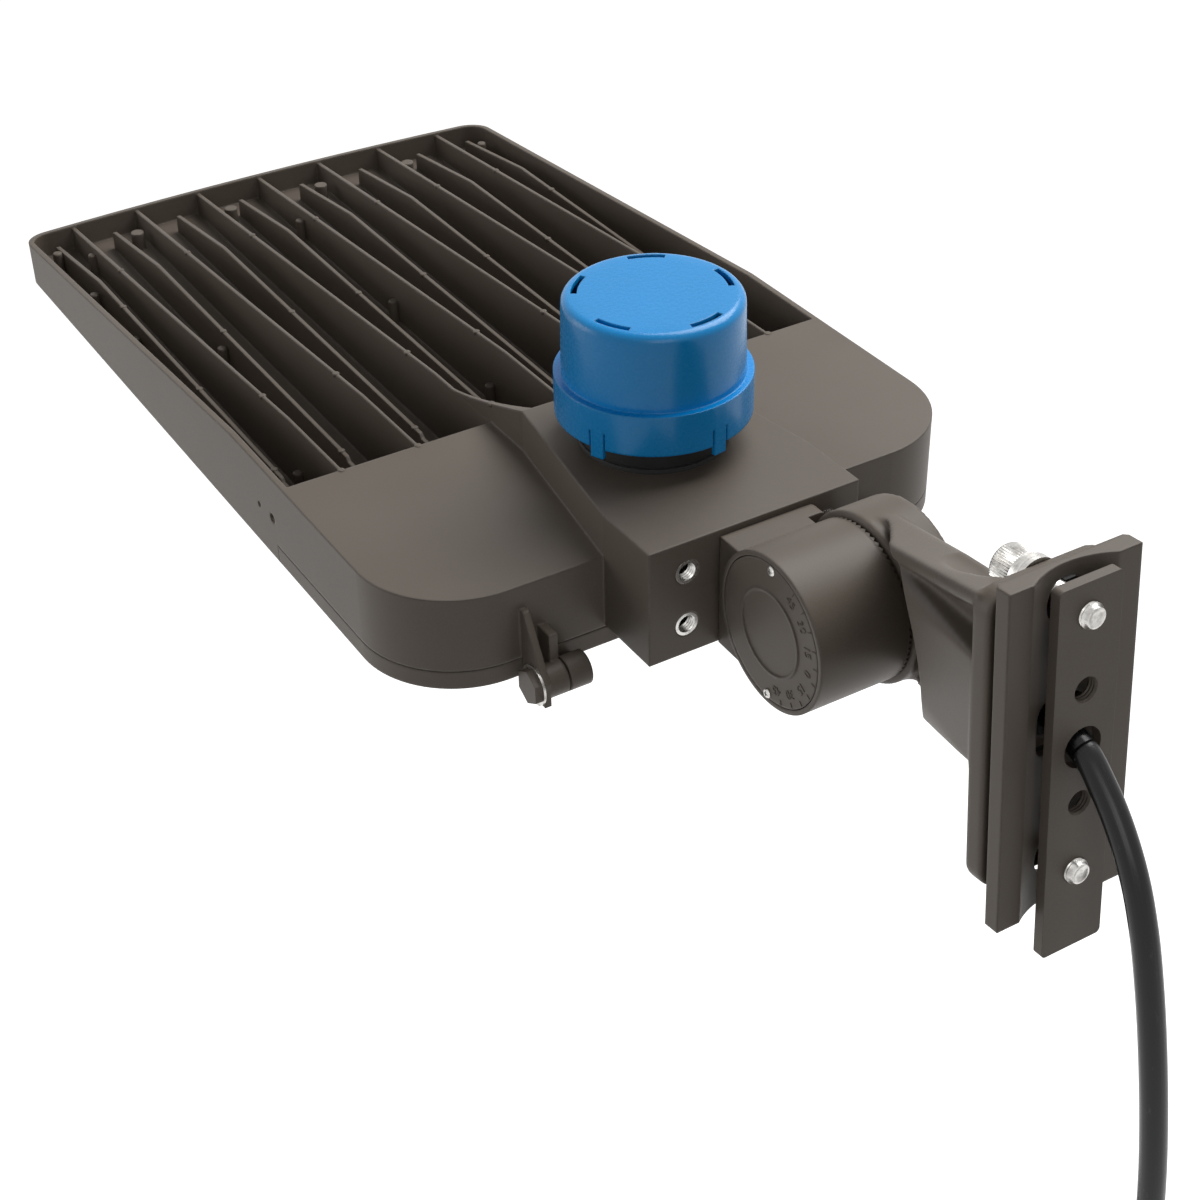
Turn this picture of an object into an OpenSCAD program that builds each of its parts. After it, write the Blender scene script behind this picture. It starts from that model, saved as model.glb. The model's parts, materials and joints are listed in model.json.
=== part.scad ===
// Shoebox area light: finned die-cast head with a twist-lock photocontrol,
// on a notched knuckle arm that bolts to a pole.
// World frame: +Z up, the pole lies towards +Y, the head reaches towards -Y.
// The origin is on the pole face of the adaptor, midway between the two bolts.
// The head is drawn level in its own frame (y = 0 at the front edge of the
// driver bay, z = 0 at the top of the side walls) and is then set in the knuckle.

/* [Head] */
// Width over the side walls
head_w = 282; // [250:1:320]
// Length of the finned tray in front of the driver bay
tray_l = 348; // [300:1:400]
// Length of the driver bay, front to rear
bay_l = 118; // [110:1:135]
// Height of the side walls at the driver bay, door included
head_h = 44; // [42:0.5:52]
// How much lower the rim is at the front than at the bay
front_drop = 22.5; // [10:0.5:24]
// Where the rim starts to slope, in front of the bay
slope_start = 55; // [20:1:90]
// Thickness of the cast walls
wall_t = 3; // [2:0.25:4]
// Corner radius at the front of the tray
front_r = 14; // [6:0.5:20]
// Radius of the slight bow of the front edge
front_bow_r = 1550; // [900:10:3000]
// Corner radius at the rear of the driver bay
bay_r = 45; // [30:1:52]
// Depth of the tray floor below the top of the walls
floor_depth = 35.5; // [32:0.5:36]
// Thickness of the tray floor
floor_t = 3; // [2:0.25:4]

/* [Fins] */
// Distance between the full-length fins
fin_pitch = 37.4; // [30:0.1:39]
// Thickness of each fin at its root
fin_t = 2.6; // [2:0.1:3.2]
// Thickness of each fin at the level of the bay
fin_tip_t = 1.4; // [1:0.1:2]
// Height of the rim above the fin tops
fin_drop = 1.5; // [0.5:0.1:3]
// Height of the shorter fins over the tray floor
short_fin_h = 17.5; // [12:0.5:18]
// Distance of the shorter fins from the front wall
mid_fin_setback = 16; // [6:0.5:30]
// Distance of the outermost short fins from the side walls
edge_fin_gap = 12; // [8:0.5:16]
// Diameter of the flat-topped bosses near the front
boss_d = 7; // [5:0.5:9]
// Height of those bosses over the floor
boss_h = 9.5; // [6:0.5:11]
// Distance between those bosses
boss_pitch = 55.4; // [50:0.1:60]

/* [Raised block] */
// Width of the block over the driver bay
block_w = 102; // [90:1:110]
// Width of the block at its front
block_front_w = 76; // [70:1:84]
// Distance of the block's front from the bay front
block_front = 29; // [20:1:31]
// How far the block reaches behind the bay
block_over = 34.5; // [25:0.5:40]
// Height of the block over the bay
block_rise = 20; // [14:0.5:26]
// Depth of the block's underside below the bay top
block_depth = 34.5; // [32:0.5:35]
// Wall thickness of the block
block_wall = 4; // [3:0.25:5]

/* [Knuckle] */
// How far the head is tilted up, in degrees
head_tilt = 5; // [0:5:20]
// Distance from the block's rear face to the knuckle axis
axis_back = 42; // [40:0.5:48]
// Depth of the knuckle axis below the bay top
axis_drop = 3; // [0:0.5:6]
// Radius of the knuckle barrel
barrel_r = 34; // [31:0.5:35]
// Where the dial end of the barrel lies, from the middle plane
barrel_left = 22; // [19:0.5:26]
// Where the notched joint lies, from the middle plane
joint_x = 19.5; // [17:0.5:22]
// Gap that the radial teeth take up
tooth_gap = 1.6; // [1:0.1:2]
// Width of the foot that bolts to the block
foot_w = 47; // [44:1:50]
// Thickness of the gasket under the foot
foot_gasket_t = 0.8; // [0.5:0.1:1.5]

/* [Arm and pole mount] */
// Distance from the pole face to the knuckle axis
arm_reach = 145; // [135:1:165]
// Height of the bolt centre over the knuckle axis
arm_rise = 23.5; // [18:0.5:28]
// Radius of the arm's half of the knuckle
arm_r = 36.5; // [35:0.5:38]
// Width of the arm's half of the knuckle
arm_half_w = 24.5; // [20:0.5:28]
// Width of the wall plate and the pole adaptor
plate_w = 56; // [52:0.5:64]
// Height of the wall plate
plate_h = 121; // [116:1:130]
// Thickness of the wall plate
plate_t = 8.5; // [6:0.5:10]
// Height of the pole adaptor
adaptor_h = 138; // [130:1:150]
// Thickness of the pole adaptor at its ridges
adaptor_t = 8; // [7:0.5:12]
// Radius of the saddle that fits round poles
saddle_r = 33; // [30:1:60]
// Width of the saddle between the ridges
saddle_w = 36; // [30:1:40]
// Thickness of the plate gasket
plate_gasket_t = 2; // [1:0.5:3]
// Distance between the two pole bolts
bolt_pitch = 104.4; // [100:0.2:108]
// Diameter of the pole bolts
bolt_d = 10; // [8:0.5:12]
// Pole wall that the light is shown ready for
pole_wall = 3; // [2.6:0.1:6]
// Width of the backing bar
bar_w = 27; // [22:0.5:30]
// Thickness of the backing bar
bar_t = 4.3; // [3:0.1:6]
// Length of the backing bar above the bolt centre
bar_up = 65; // [62:0.5:75]
// Length of the backing bar below the bolt centre
bar_down = 86; // [66:0.5:95]
// Distance between the spare threaded holes of the bar
spare_pitch = 46.2; // [40:0.2:50]

/* [Photocontrol] */
// Diameter of the photocontrol's skirt
skirt_d = 84; // [80:0.5:88]
// Height of the skirt
skirt_h = 18.3; // [12:0.1:22]
// Step from the skirt in to the photocontrol's body
cap_step = 3.2; // [2:0.1:5]
// Height of the photocontrol over the receptacle
cap_h = 52.8; // [44:0.1:60]
// Height of the receptacle over the block
receptacle_h = 14.3; // [12:0.1:20]
// Distance of the photocontrol from the bay front
cap_y = 76; // [73:0.5:80]

/* [Door] */
// Height of the door's side
door_h = 8.3; // [7:0.1:8.5]
// Thickness of the door plate
door_t = 2.5; // [2:0.1:3]
// Distance of the hinge pin behind the bay
hinge_back = 11; // [9:0.5:14]
// Height of the hinge pin over the door's underside
hinge_up = 2; // [0:0.5:4]
// Outer radius of the hinge barrels
hinge_r = 7.5; // [6:0.5:8]
// Distance of the hinge lugs from the middle plane
hinge_x = 91; // [84:1:96]

/* [Supply cord] */
// Diameter of the cord's jacket
cord_d = 10; // [8:0.5:10]

/* [Hidden] */
$fn = 64;

// Colours of the finishes
bronze = [0.30, 0.27, 0.24];
dark_bronze = [0.24, 0.215, 0.19];
sky_blue = [0.0, 0.36, 0.66];
bright_steel = [0.80, 0.80, 0.78];
soft_black = [0.06, 0.06, 0.06];
board_white = [0.92, 0.92, 0.90];
clear_lens = [0.82, 0.88, 0.92];
copper = [0.78, 0.50, 0.30];

// One overrun for all cuts, one hairline gap and one running gap
over = 1;
hair = 0.1;
play = 0.3;
slip = 0.05;

// Axis of the knuckle in the head's frame and in the world
axis_y = bay_l + block_over + axis_back;
axis_z = -axis_drop;
knuckle_y = -arm_reach;
knuckle_z = -arm_rise;

// Levels in the head's frame
rim_z = -head_h;
floor_z = -floor_depth;
slab_z = floor_z - floor_t;
front_z = -front_drop;
door_gasket_t = 0.5;
seam_z = rim_z + door_h + door_gasket_t;
block_top_z = block_rise;
block_low_z = -block_depth;
block_rear_y = bay_l + block_over;

// Places the head's parts in the tilted knuckle
module in_head() {
    translate([0, knuckle_y, knuckle_z])
        rotate([-head_tilt, 0, 0])
            translate([0, -axis_y, -axis_z])
                children();
}

// Places parts on the knuckle's axis, turned so that +Z runs along +X
module on_axis(x) {
    translate([x, 0, 0]) rotate([0, 90, 0]) children();
}

// A plain tube along Z
module tube(outer_r, inner_r, h) {
    difference() {
        cylinder(r = outer_r, h = h);
        translate([0, 0, -over]) cylinder(r = inner_r, h = h + 2 * over);
    }
}

// A rectangle with round corners, centred
module round_rect(w, d, r) {
    square([w - 2 * r, d], center = true);
    square([w, d - 2 * r], center = true);
    for (sx = [-1, 1], sy = [-1, 1])
        translate([sx * (w / 2 - r), sy * (d / 2 - r)]) circle(r = r);
}

// Centres of the bowed front edge and of the round corners that run into it
bow_y = front_bow_r - tray_l;
corner_x = head_w / 2 - front_r;
corner_y = bow_y - sqrt(pow(front_bow_r - front_r, 2) - pow(corner_x, 2));

// Plan outline of the head, drawn in by an inset
module head_outline(inset = 0) {
    half = head_w / 2 - inset;
    rear = bay_l - inset;
    rf = front_r - inset;
    rr = bay_r - inset;
    meet_x = corner_x * (front_bow_r - inset) / (front_bow_r - front_r);
    intersection() {
        translate([-meet_x, -2 * tray_l]) square([2 * meet_x, 2 * tray_l + corner_y + over]);
        translate([0, bow_y]) circle(r = front_bow_r - inset, $fn = 360);
    }
    translate([-half, corner_y]) square([2 * half, rear - rr - corner_y]);
    translate([-half + rr, rear - 2 * rr]) square([2 * (half - rr), 2 * rr]);
    for (s = [-1, 1]) {
        translate([s * corner_x, corner_y]) circle(r = rf);
        translate([s * (half - rr), rear - rr]) circle(r = rr);
    }
}

// Part of the head outline between two distances from the bay front
module head_slice(inset, from_y, to_y) {
    intersection() {
        head_outline(inset);
        translate([-head_w, from_y]) square([2 * head_w, to_y - from_y]);
    }
}

// Everything above the sloping rim, lowered by a drop
module above_rim(drop = 0) {
    reach = tray_l + bay_l + 2 * block_over;
    rotate([90, 0, 90])
        translate([0, 0, -head_w])
            linear_extrude(height = 2 * head_w)
                polygon([[-tray_l - over, front_z - drop - over * front_drop / tray_l],
                         [-slope_start, -drop],
                         [reach, -drop],
                         [reach, 2 * head_h],
                         [-tray_l - over, 2 * head_h]]);
}

// Fins

full_fin_x = [for (i = [-3 : 3]) i * fin_pitch];
short_fin_x = [for (i = [-2.5 : 1 : 2.5]) i * fin_pitch];
edge_fin_x = head_w / 2 - wall_t - edge_fin_gap;
fin_low_z = floor_z - floor_t / 2;
short_top_z = floor_z + short_fin_h;
short_ramp_l = 66;
short_ramp_fall = 8;
short_step_l = 36;
short_step_fall = 2;

// Height of the full fins' tops at a distance along the head
function fin_top(y) =
    y > -slope_start ? -fin_drop
    : -fin_drop - front_drop * (-slope_start - y) / (tray_l - slope_start);

// Middle of the bowed front wall at a distance from the middle plane
function front_wall_y(x) = bow_y - sqrt(pow(front_bow_r - wall_t / 2, 2) - pow(x, 2));

// Distance along the head at which a fin ends
function fin_end(x) = abs(x) < block_front_w / 2 ? block_front + wall_t : wall_t;

// A fin with the draft of a casting, from its side view
module drafted_fin(x) {
    translate([x, 0, 0])
        intersection() {
            rotate([90, 0, 90])
                translate([0, 0, -fin_t])
                    linear_extrude(height = 2 * fin_t) children();
            rotate([90, 0, 0])
                translate([0, 0, -bay_l])
                    linear_extrude(height = bay_l + 2 * tray_l)
                        polygon([[-fin_t / 2, fin_low_z],
                                 [fin_t / 2, fin_low_z],
                                 [fin_tip_t / 2, 0],
                                 [-fin_tip_t / 2, 0]]);
        }
}

module full_fin(x) {
    start_y = front_wall_y(x);
    drafted_fin(x)
        polygon([[start_y, fin_low_z],
                 [fin_end(x), fin_low_z],
                 [fin_end(x), -play],
                 [-slope_start, -fin_drop],
                 [start_y, fin_top(start_y)]]);
}

module short_fin(x) {
    start_y = -tray_l + wall_t + mid_fin_setback;
    drafted_fin(x)
        polygon([[start_y, fin_low_z],
                 [fin_end(x), fin_low_z],
                 [fin_end(x), short_top_z - short_step_fall],
                 [-short_step_l + short_step_fall, short_top_z - short_step_fall],
                 [-short_step_l, short_top_z],
                 [start_y + short_ramp_l, short_top_z],
                 [start_y, short_top_z - short_ramp_fall]]);
}

module fins() {
    for (x = full_fin_x) full_fin(x);
    for (x = short_fin_x) short_fin(x);
    for (s = [-1, 1]) short_fin(s * edge_fin_x);
}

// Raised block, with the two fins that sweep up to its front corners

block_kink = bay_l;
sweep_l = 68;
sweep_w = 5;
sweep_rise_power = 1.2;
sweep_width_power = 2.5;
sweep_steps = 12;

module block_plan(inset) {
    half = block_w / 2 - inset;
    front_half = block_front_w / 2 - inset;
    polygon([[-front_half, block_front + inset],
             [front_half, block_front + inset],
             [half, block_kink],
             [half, block_rear_y - inset],
             [-half, block_rear_y - inset],
             [-half, block_kink]]);
}

// Height, outer side and width of the swept fins at a share of their length
function sweep_top(share) = -fin_drop + (block_top_z + fin_drop) * pow(share, sweep_rise_power);
function sweep_outer(share) =
    (fin_pitch + fin_tip_t / 2) * (1 - share) + block_front_w / 2 * share;
function sweep_inner(share) =
    sweep_outer(share) - fin_tip_t - (sweep_w - fin_tip_t) * pow(share, sweep_width_power);

module swept_fins() {
    start_y = block_front - sweep_l;
    end_y = block_front + wall_t;
    shares = [for (i = [0 : sweep_steps]) i / sweep_steps];
    back = [for (i = [0 : sweep_steps]) 1 - i / sweep_steps];
    for (s = [-1, 1])
        intersection() {
            translate([0, 0, fin_low_z]) linear_extrude(height = 2 * head_h)
                polygon(concat([for (k = shares) [s * sweep_outer(k), start_y + sweep_l * k]],
                               [[s * sweep_outer(1), end_y], [s * sweep_inner(1), end_y]],
                               [for (k = back) [s * sweep_inner(k), start_y + sweep_l * k]]));
            rotate([90, 0, 90])
                translate([0, 0, -block_w])
                    linear_extrude(height = 2 * block_w)
                        polygon(concat([[end_y, block_top_z],
                                        [end_y, fin_low_z],
                                        [start_y, fin_low_z]],
                                       [for (k = shares) [start_y + sweep_l * k, sweep_top(k)]]));
        }
}

// Hinge of the door: lugs and barrels of the casting, one pair a side

hinge_y = bay_l + hinge_back;
hinge_z = rim_z + hinge_up;
lug_t = 3;
lug_barrel_l = 12;
loop_l = 10;
loop_gap = 1;
pin_r = 4;
lug_tops = [-24, -11];
rib_t = 4;
rib_top_z = -22;

module hinge_lug(side) {
    x0 = hinge_x - lug_barrel_l;
    lug_top_z = side < 0 ? lug_tops[0] : lug_tops[1];
    mirror([side < 0 ? 1 : 0, 0, 0])
        difference() {
            union() {
                translate([hinge_x - lug_t, 0, 0])
                    rotate([90, 0, 90])
                        linear_extrude(height = lug_t)
                            polygon([[bay_l - wall_t / 2, lug_top_z],
                                     [bay_l + lug_t, lug_top_z],
                                     [hinge_y + hinge_r, hinge_z + hinge_r / 2],
                                     [hinge_y + hinge_r, hinge_z - hinge_r],
                                     [hinge_y - hinge_r / 2, hinge_z - hinge_r],
                                     [bay_l, seam_z],
                                     [bay_l - wall_t / 2, seam_z]]);
                translate([x0, hinge_y, hinge_z]) rotate([0, 90, 0])
                    cylinder(r = hinge_r, h = lug_barrel_l);
                translate([x0, bay_l - wall_t / 2, hinge_z + hinge_r / 2])
                    cube([rib_t, hinge_back, rib_top_z - hinge_z - hinge_r / 2]);
            }
            translate([x0 - over, hinge_y, hinge_z]) rotate([0, 90, 0])
                cylinder(r = pin_r + slip, h = lug_barrel_l + 2 * over);
        }
}

// Head casting

door_front = 11;
lens_rib_t = 2.7;
lens_back_y = -door_front - hair;
screw_inset = 41;
screw_x = head_w / 2 - screw_inset;
screw_r = 2;
screw_boss_r = 4.5;
screw_boss_h = 9;
screw_y = -door_front / 2;
side_hole_z = -22.3;
side_hole_y = -13.7;
side_hole_r = 2.5;
pilot_hole_y = -27.7;
pilot_hole_r = 1.5;
insert_xs = [33, -35];
insert_up = 5.5;
insert_pitch = 25.5;
insert_hole_r = 5.4;
insert_boss_r = 8;
insert_l = 12;
wire_hole_r = 3.5;
receptacle_hole_r = 20.5;
insert_zs = [insert_up, insert_up - insert_pitch];

module driver_bay_space() {
    cavity_front = wall_t;
    difference() {
        translate([0, 0, rim_z - over])
            linear_extrude(height = head_h - wall_t + over)
                head_slice(wall_t, cavity_front, bay_l);
        translate([-block_front_w / 2, 0, rim_z - 2 * over])
            cube([block_front_w, block_front + wall_t, 2 * head_h]);
    }
    // room for the door's front strip under the tray floor
    translate([0, 0, rim_z - over])
        linear_extrude(height = slab_z - rim_z + over)
            head_slice(wall_t, -door_front, block_front + 2 * wall_t);
}

module block_space() {
    translate([0, 0, block_low_z + block_wall])
        linear_extrude(height = block_top_z - block_low_z - 2 * block_wall)
            block_plan(block_wall);
    translate([0, 0, rim_z - over])
        linear_extrude(height = head_h)
            intersection() {
                block_plan(block_wall);
                translate([-block_w, block_front]) square([2 * block_w, bay_l - wall_t - block_front]);
            }
}

module head_casting() {
    color(bronze) in_head() difference() {
        union() {
            difference() {
                union() {
                    // rim of the tray and its floor
                    translate([0, 0, rim_z]) linear_extrude(height = head_h)
                        difference() {
                            head_slice(0, -tray_l - over, 0);
                            head_outline(wall_t);
                        }
                    translate([0, 0, slab_z]) linear_extrude(height = floor_t)
                        head_slice(wall_t / 2, -tray_l, wall_t);
                    fins();
                }
                above_rim();
            }
            // shoulders of the driver bay
            translate([0, 0, seam_z]) linear_extrude(height = -seam_z)
                difference() {
                    head_slice(0, -hair, bay_l + over);
                    translate([-block_front_w / 2, -over])
                        square([block_front_w, block_front + over]);
                }
            // block, on walls that reach the floor
            translate([0, 0, block_low_z])
                linear_extrude(height = block_top_z - block_low_z) block_plan(0);
            translate([-block_front_w / 2, block_front, slab_z])
                cube([block_front_w, wall_t, block_top_z - slab_z]);
            translate([0, 0, slab_z]) linear_extrude(height = floor_t)
                translate([-block_front_w / 2, 0]) square([block_front_w, block_front + wall_t]);
            swept_fins();
            // rib between the lens recess and the door
            translate([0, 0, rim_z]) linear_extrude(height = slab_z - rim_z + floor_t / 2)
                head_slice(wall_t / 2, lens_back_y - lens_rib_t, lens_back_y);
            for (i = [-1.5 : 1 : 1.5])
                translate([i * boss_pitch, -tray_l + wall_t + mid_fin_setback + boss_d, fin_low_z])
                    cylinder(r = boss_d / 2, h = boss_h + floor_t / 2);
            for (s = [-1, 1]) {
                translate([s * screw_x, screw_y, slab_z])
                    cylinder(r = screw_boss_r, h = floor_t + screw_boss_h);
                hinge_lug(s);
            }
        }
        driver_bay_space();
        block_space();
        // the side walls end above the door
        translate([0, 0, rim_z - over]) linear_extrude(height = seam_z - rim_z + over)
            difference() {
                head_slice(-over, -door_front - hair, bay_l + over);
                head_slice(wall_t, -tray_l, wall_t);
            }
        // screw holes of the door
        for (s = [-1, 1])
            translate([s * screw_x, screw_y, slab_z - over])
                cylinder(r = screw_r + 2 * play, h = floor_t + screw_boss_h - over);
        // tapped and pilot holes in both side walls
        for (s = [-1, 1], hole = [[side_hole_y, side_hole_r], [pilot_hole_y, pilot_hole_r]])
            translate([s * (head_w - wall_t) / 2, hole[0], side_hole_z])
                rotate([0, 90, 0])
                    cylinder(r = hole[1], h = wall_t + 2 * over, center = true);
        // holes in the block
        for (x = insert_xs, z = insert_zs)
            translate([x, block_rear_y - block_wall - over, z])
                rotate([-90, 0, 0]) cylinder(r = insert_hole_r, h = block_wall + 2 * over);
        for (sz = [-1, 1])
            translate([foot_x, block_rear_y - block_wall - over, foot_z + sz * foot_screw_z])
                rotate([-90, 0, 0]) cylinder(r = foot_screw_r + play, h = block_wall + 2 * over);
        translate([wire_x, block_rear_y - block_wall - over, axis_z])
            rotate([-90, 0, 0]) cylinder(r = wire_hole_r, h = block_wall + 2 * over);
        translate([0, cap_y, block_top_z - block_wall - over])
            cylinder(r = receptacle_hole_r, h = block_wall + 2 * over);
        for (s = [-1, 1])
            translate([s * receptacle_screw_x, cap_y, block_top_z - block_wall - over])
                cylinder(r = receptacle_screw_r + hair, h = block_wall + 2 * over);
    }
}

// Thread inserts in the rear face of the block

thread_r = 4;

module thread_inserts() {
    color(bright_steel) in_head()
        for (x = insert_xs, z = insert_zs)
            translate([x, block_rear_y, z]) rotate([90, 0, 0]) {
                tube(insert_hole_r - slip, thread_r, insert_l);
                translate([0, 0, block_wall + slip]) tube(insert_boss_r, thread_r, insert_l / 4);
            }
}

// Light engine, seen from below

board_t = 1.6;
board_gap = 4;
lens_t = 2;
lens_side_gap = 4;
lens_end_gap = 1;
front_bow = head_w * head_w / 8 / front_bow_r;
engine_front_y = -tray_l + wall_t + front_bow;
engine_rear_y = lens_back_y - lens_rib_t;
lens_w = head_w / 2 - wall_t - lens_side_gap - board_gap / 2;
lens_l = (engine_rear_y - engine_front_y - board_gap) / 2 - lens_end_gap;
lens_edge = 2;
board_w = lens_w - 2 * lens_edge;
board_l = lens_l - 2 * lens_edge;
lens_gasket_w = 3;
lens_cols = 5;
lens_rows = 6;
lens_side = 18;
lens_end = 20;
lens_pitch_x = (lens_w - 2 * lens_side) / (lens_cols - 1);
lens_pitch_y = (lens_l - 2 * lens_end) / (lens_rows - 1);
lens_dome_r = 8;
lens_dome_h = 2;
led_w = 3.5;
led_t = 0.7;
lens_screw_r = 1.5;
lens_screw_head_r = 2.8;
lens_screw_head_h = 1.2;
engine_y = (engine_front_y + engine_rear_y) / 2;

// Places a light engine in each quarter of the tray
module each_engine() {
    for (sx = [-1, 1], sy = [-1, 1])
        translate([sx * (lens_w + board_gap) / 2, engine_y + sy * (lens_l + board_gap) / 2, 0])
            children();
}

module each_lens() {
    for (i = [0 : lens_cols - 1], j = [0 : lens_rows - 1])
        translate([(i - (lens_cols - 1) / 2) * lens_pitch_x, (j - (lens_rows - 1) / 2) * lens_pitch_y, 0])
            children();
}

module each_lens_screw() {
    at_x = lens_w / 2 - 2 * lens_gasket_w + lens_screw_r;
    at_y = lens_l / 2 - 2 * lens_gasket_w + lens_screw_r;
    for (sx = [-1, 1], sy = [-1, 0, 1])
        translate([sx * at_x, sy * at_y, 0])
            children();
}

module led_boards() {
    color(board_white) in_head() each_engine()
        difference() {
            translate([-board_w / 2, -board_l / 2, slab_z - board_t])
                cube([board_w, board_l, board_t]);
            each_lens_screw()
                translate([0, 0, slab_z - board_t - over])
                    cylinder(r = lens_screw_r + play, h = board_t + 2 * over, $fn = 24);
        }
}

module led_packages() {
    color("khaki") in_head() each_engine() each_lens()
        translate([-led_w / 2, -led_w / 2, slab_z - board_t - led_t])
            cube([led_w, led_w, led_t]);
}

module lens_gaskets() {
    color(soft_black) in_head() each_engine()
        translate([0, 0, slab_z - board_t - lens_dome_h / 2])
            linear_extrude(height = lens_dome_h / 2)
                difference() {
                    square([board_w, board_l], center = true);
                    square([board_w - 2 * lens_gasket_w, board_l - 2 * lens_gasket_w], center = true);
                    each_lens_screw() circle(r = lens_screw_r + play, $fn = 24);
                }
}

lens_top_z = slab_z - board_t - lens_dome_h / 2;

module lens_panels() {
    color(clear_lens) in_head() each_engine()
        difference() {
            union() {
                translate([-lens_w / 2, -lens_l / 2, lens_top_z - lens_t])
                    cube([lens_w, lens_l, lens_t]);
                each_lens()
                    translate([0, 0, lens_top_z - lens_t - lens_dome_h])
                        cylinder(r = lens_dome_r, h = lens_dome_h + lens_t / 2, $fn = 32);
            }
            each_lens_screw()
                translate([0, 0, lens_top_z - lens_t - over])
                    cylinder(r = lens_screw_r + play, h = lens_t + 2 * over, $fn = 24);
        }
}

module lens_screws() {
    color(bright_steel) in_head() each_engine() each_lens_screw() {
        translate([0, 0, lens_top_z - lens_t - lens_screw_head_h])
            cylinder(r = lens_screw_head_r, h = lens_screw_head_h, $fn = 24);
        translate([0, 0, lens_top_z - lens_t - lens_screw_head_h])
            cylinder(r = lens_screw_r, h = slab_z - lens_top_z + lens_t + lens_screw_head_h, $fn = 24);
    }
}

// Gear in the driver bay

driver_gap = 10.5;
driver_end_gap = 15;
bay_room = head_w / 2 - wall_t - block_w / 2;
bay_mid_x = (head_w / 2 - wall_t + block_w / 2) / 2;
driver_w = bay_room - 2 * driver_gap;
driver_l = bay_l - 2 * driver_end_gap;
driver_h = 30;
driver_x = bay_mid_x;
driver_flange_t = 2;
driver_flange_l = 7;
driver_screw_r = 2;
driver_y = bay_l / 2 - wall_t;
surge_w = 44;
surge_l = 48;
surge_h = 26;
surge_x = -bay_mid_x;
surge_y = 34;
block_term_w = 42;
block_term_l = 22;
block_term_h = 20;
block_term_x = -bay_mid_x;
block_term_y = 80;
bay_top_z = -wall_t;

module led_driver() {
    color("silver") in_head() {
        translate([driver_x - driver_w / 2,
                   driver_y - driver_l / 2 + driver_flange_l / 2,
                   bay_top_z - driver_h])
            difference() {
                union() {
                    cube([driver_w, driver_l - driver_flange_l, driver_h]);
                    translate([driver_w / 4, -driver_flange_l, driver_h - driver_flange_t])
                        cube([driver_w / 2, driver_l + driver_flange_l, driver_flange_t]);
                }
                for (y = [-driver_flange_l / 2, driver_l - driver_flange_l / 2])
                    translate([driver_w / 2, y, driver_h - driver_flange_t - over])
                        cylinder(r = driver_screw_r + play, h = driver_flange_t + 2 * over, $fn = 24);
            }
    }
}

module pan_screw(r, head_r, head_h, l) {
    cylinder(r = head_r, h = head_h, $fn = 32);
    translate([0, 0, head_h]) cylinder(r = r, h = l, $fn = 32);
}

module driver_screws() {
    color(bright_steel) in_head()
        for (y = [-driver_flange_l / 2, driver_l - driver_flange_l / 2])
            translate([driver_x, driver_y - driver_l / 2 + driver_flange_l / 2 + y,
                       bay_top_z - driver_flange_t - driver_screw_r])
                pan_screw(driver_screw_r, 1.6 * driver_screw_r, driver_screw_r, driver_flange_t);
}

module surge_protector() {
    color("darkgreen") in_head()
        translate([surge_x - surge_w / 2, surge_y - surge_l / 2, bay_top_z - surge_h])
            linear_extrude(height = surge_h)
                translate([surge_w / 2, surge_l / 2]) round_rect(surge_w, surge_l, wall_t);
}

module terminal_block() {
    poles = 3;
    way = block_term_w / poles;
    color("ivory") in_head()
        translate([block_term_x - block_term_w / 2,
                   block_term_y - block_term_l / 2,
                   bay_top_z - block_term_h])
            difference() {
                cube([block_term_w, block_term_l, block_term_h]);
                for (i = [0 : poles - 1])
                    translate([(i + 0.5) * way, -over, block_term_h / 2])
                        rotate([-90, 0, 0])
                            cylinder(r = way / 5, h = block_term_l + 2 * over, $fn = 24);
            }
}

ground_x = -60;
ground_y = 50;
ground_r = 2.5;

module ground_screw() {
    color("green") in_head()
        translate([ground_x, ground_y, bay_top_z - 2 * ground_r])
            pan_screw(ground_r, 2 * ground_r, ground_r, ground_r);
}

// Driver door, its gasket and its captive screws

door_seat_z = rim_z + door_h;
loop_x = hinge_x - lug_barrel_l - loop_gap - loop_l;

module hinge_loop(side) {
    mirror([side < 0 ? 1 : 0, 0, 0])
        difference() {
            union() {
                translate([loop_x, hinge_y, hinge_z]) rotate([0, 90, 0])
                    cylinder(r = hinge_r, h = loop_l);
                translate([loop_x, bay_l - wall_t, rim_z])
                    cube([loop_l, hinge_back + wall_t - pin_r, door_t]);
            }
            translate([loop_x - over, hinge_y, hinge_z]) rotate([0, 90, 0])
                cylinder(r = pin_r + slip, h = loop_l + 2 * over);
            // the loop is open towards the housing
            translate([loop_x - over, hinge_y - 2 * hinge_r, hinge_z + loop_gap])
                cube([loop_l + 2 * over, 2 * hinge_r, pin_r - loop_gap]);
        }
}

module driver_door() {
    color(bronze) in_head() {
        difference() {
            union() {
                translate([0, 0, rim_z]) linear_extrude(height = door_t)
                    head_slice(0, -door_front, bay_l + over);
                translate([0, 0, rim_z]) linear_extrude(height = door_h)
                    difference() {
                        head_slice(0, wall_t, bay_l + over);
                        head_outline(wall_t);
                    }
                translate([0, 0, rim_z]) linear_extrude(height = door_h)
                    difference() {
                        head_slice(0, -door_front, wall_t + over);
                        head_slice(wall_t - over / 2, -tray_l, bay_l);
                    }
                for (s = [-1, 1]) hinge_loop(s);
            }
            for (s = [-1, 1])
                translate([s * screw_x, screw_y, rim_z - over])
                    cylinder(r = screw_r + play, h = door_t + 2 * over);
        }
    }
}

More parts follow.
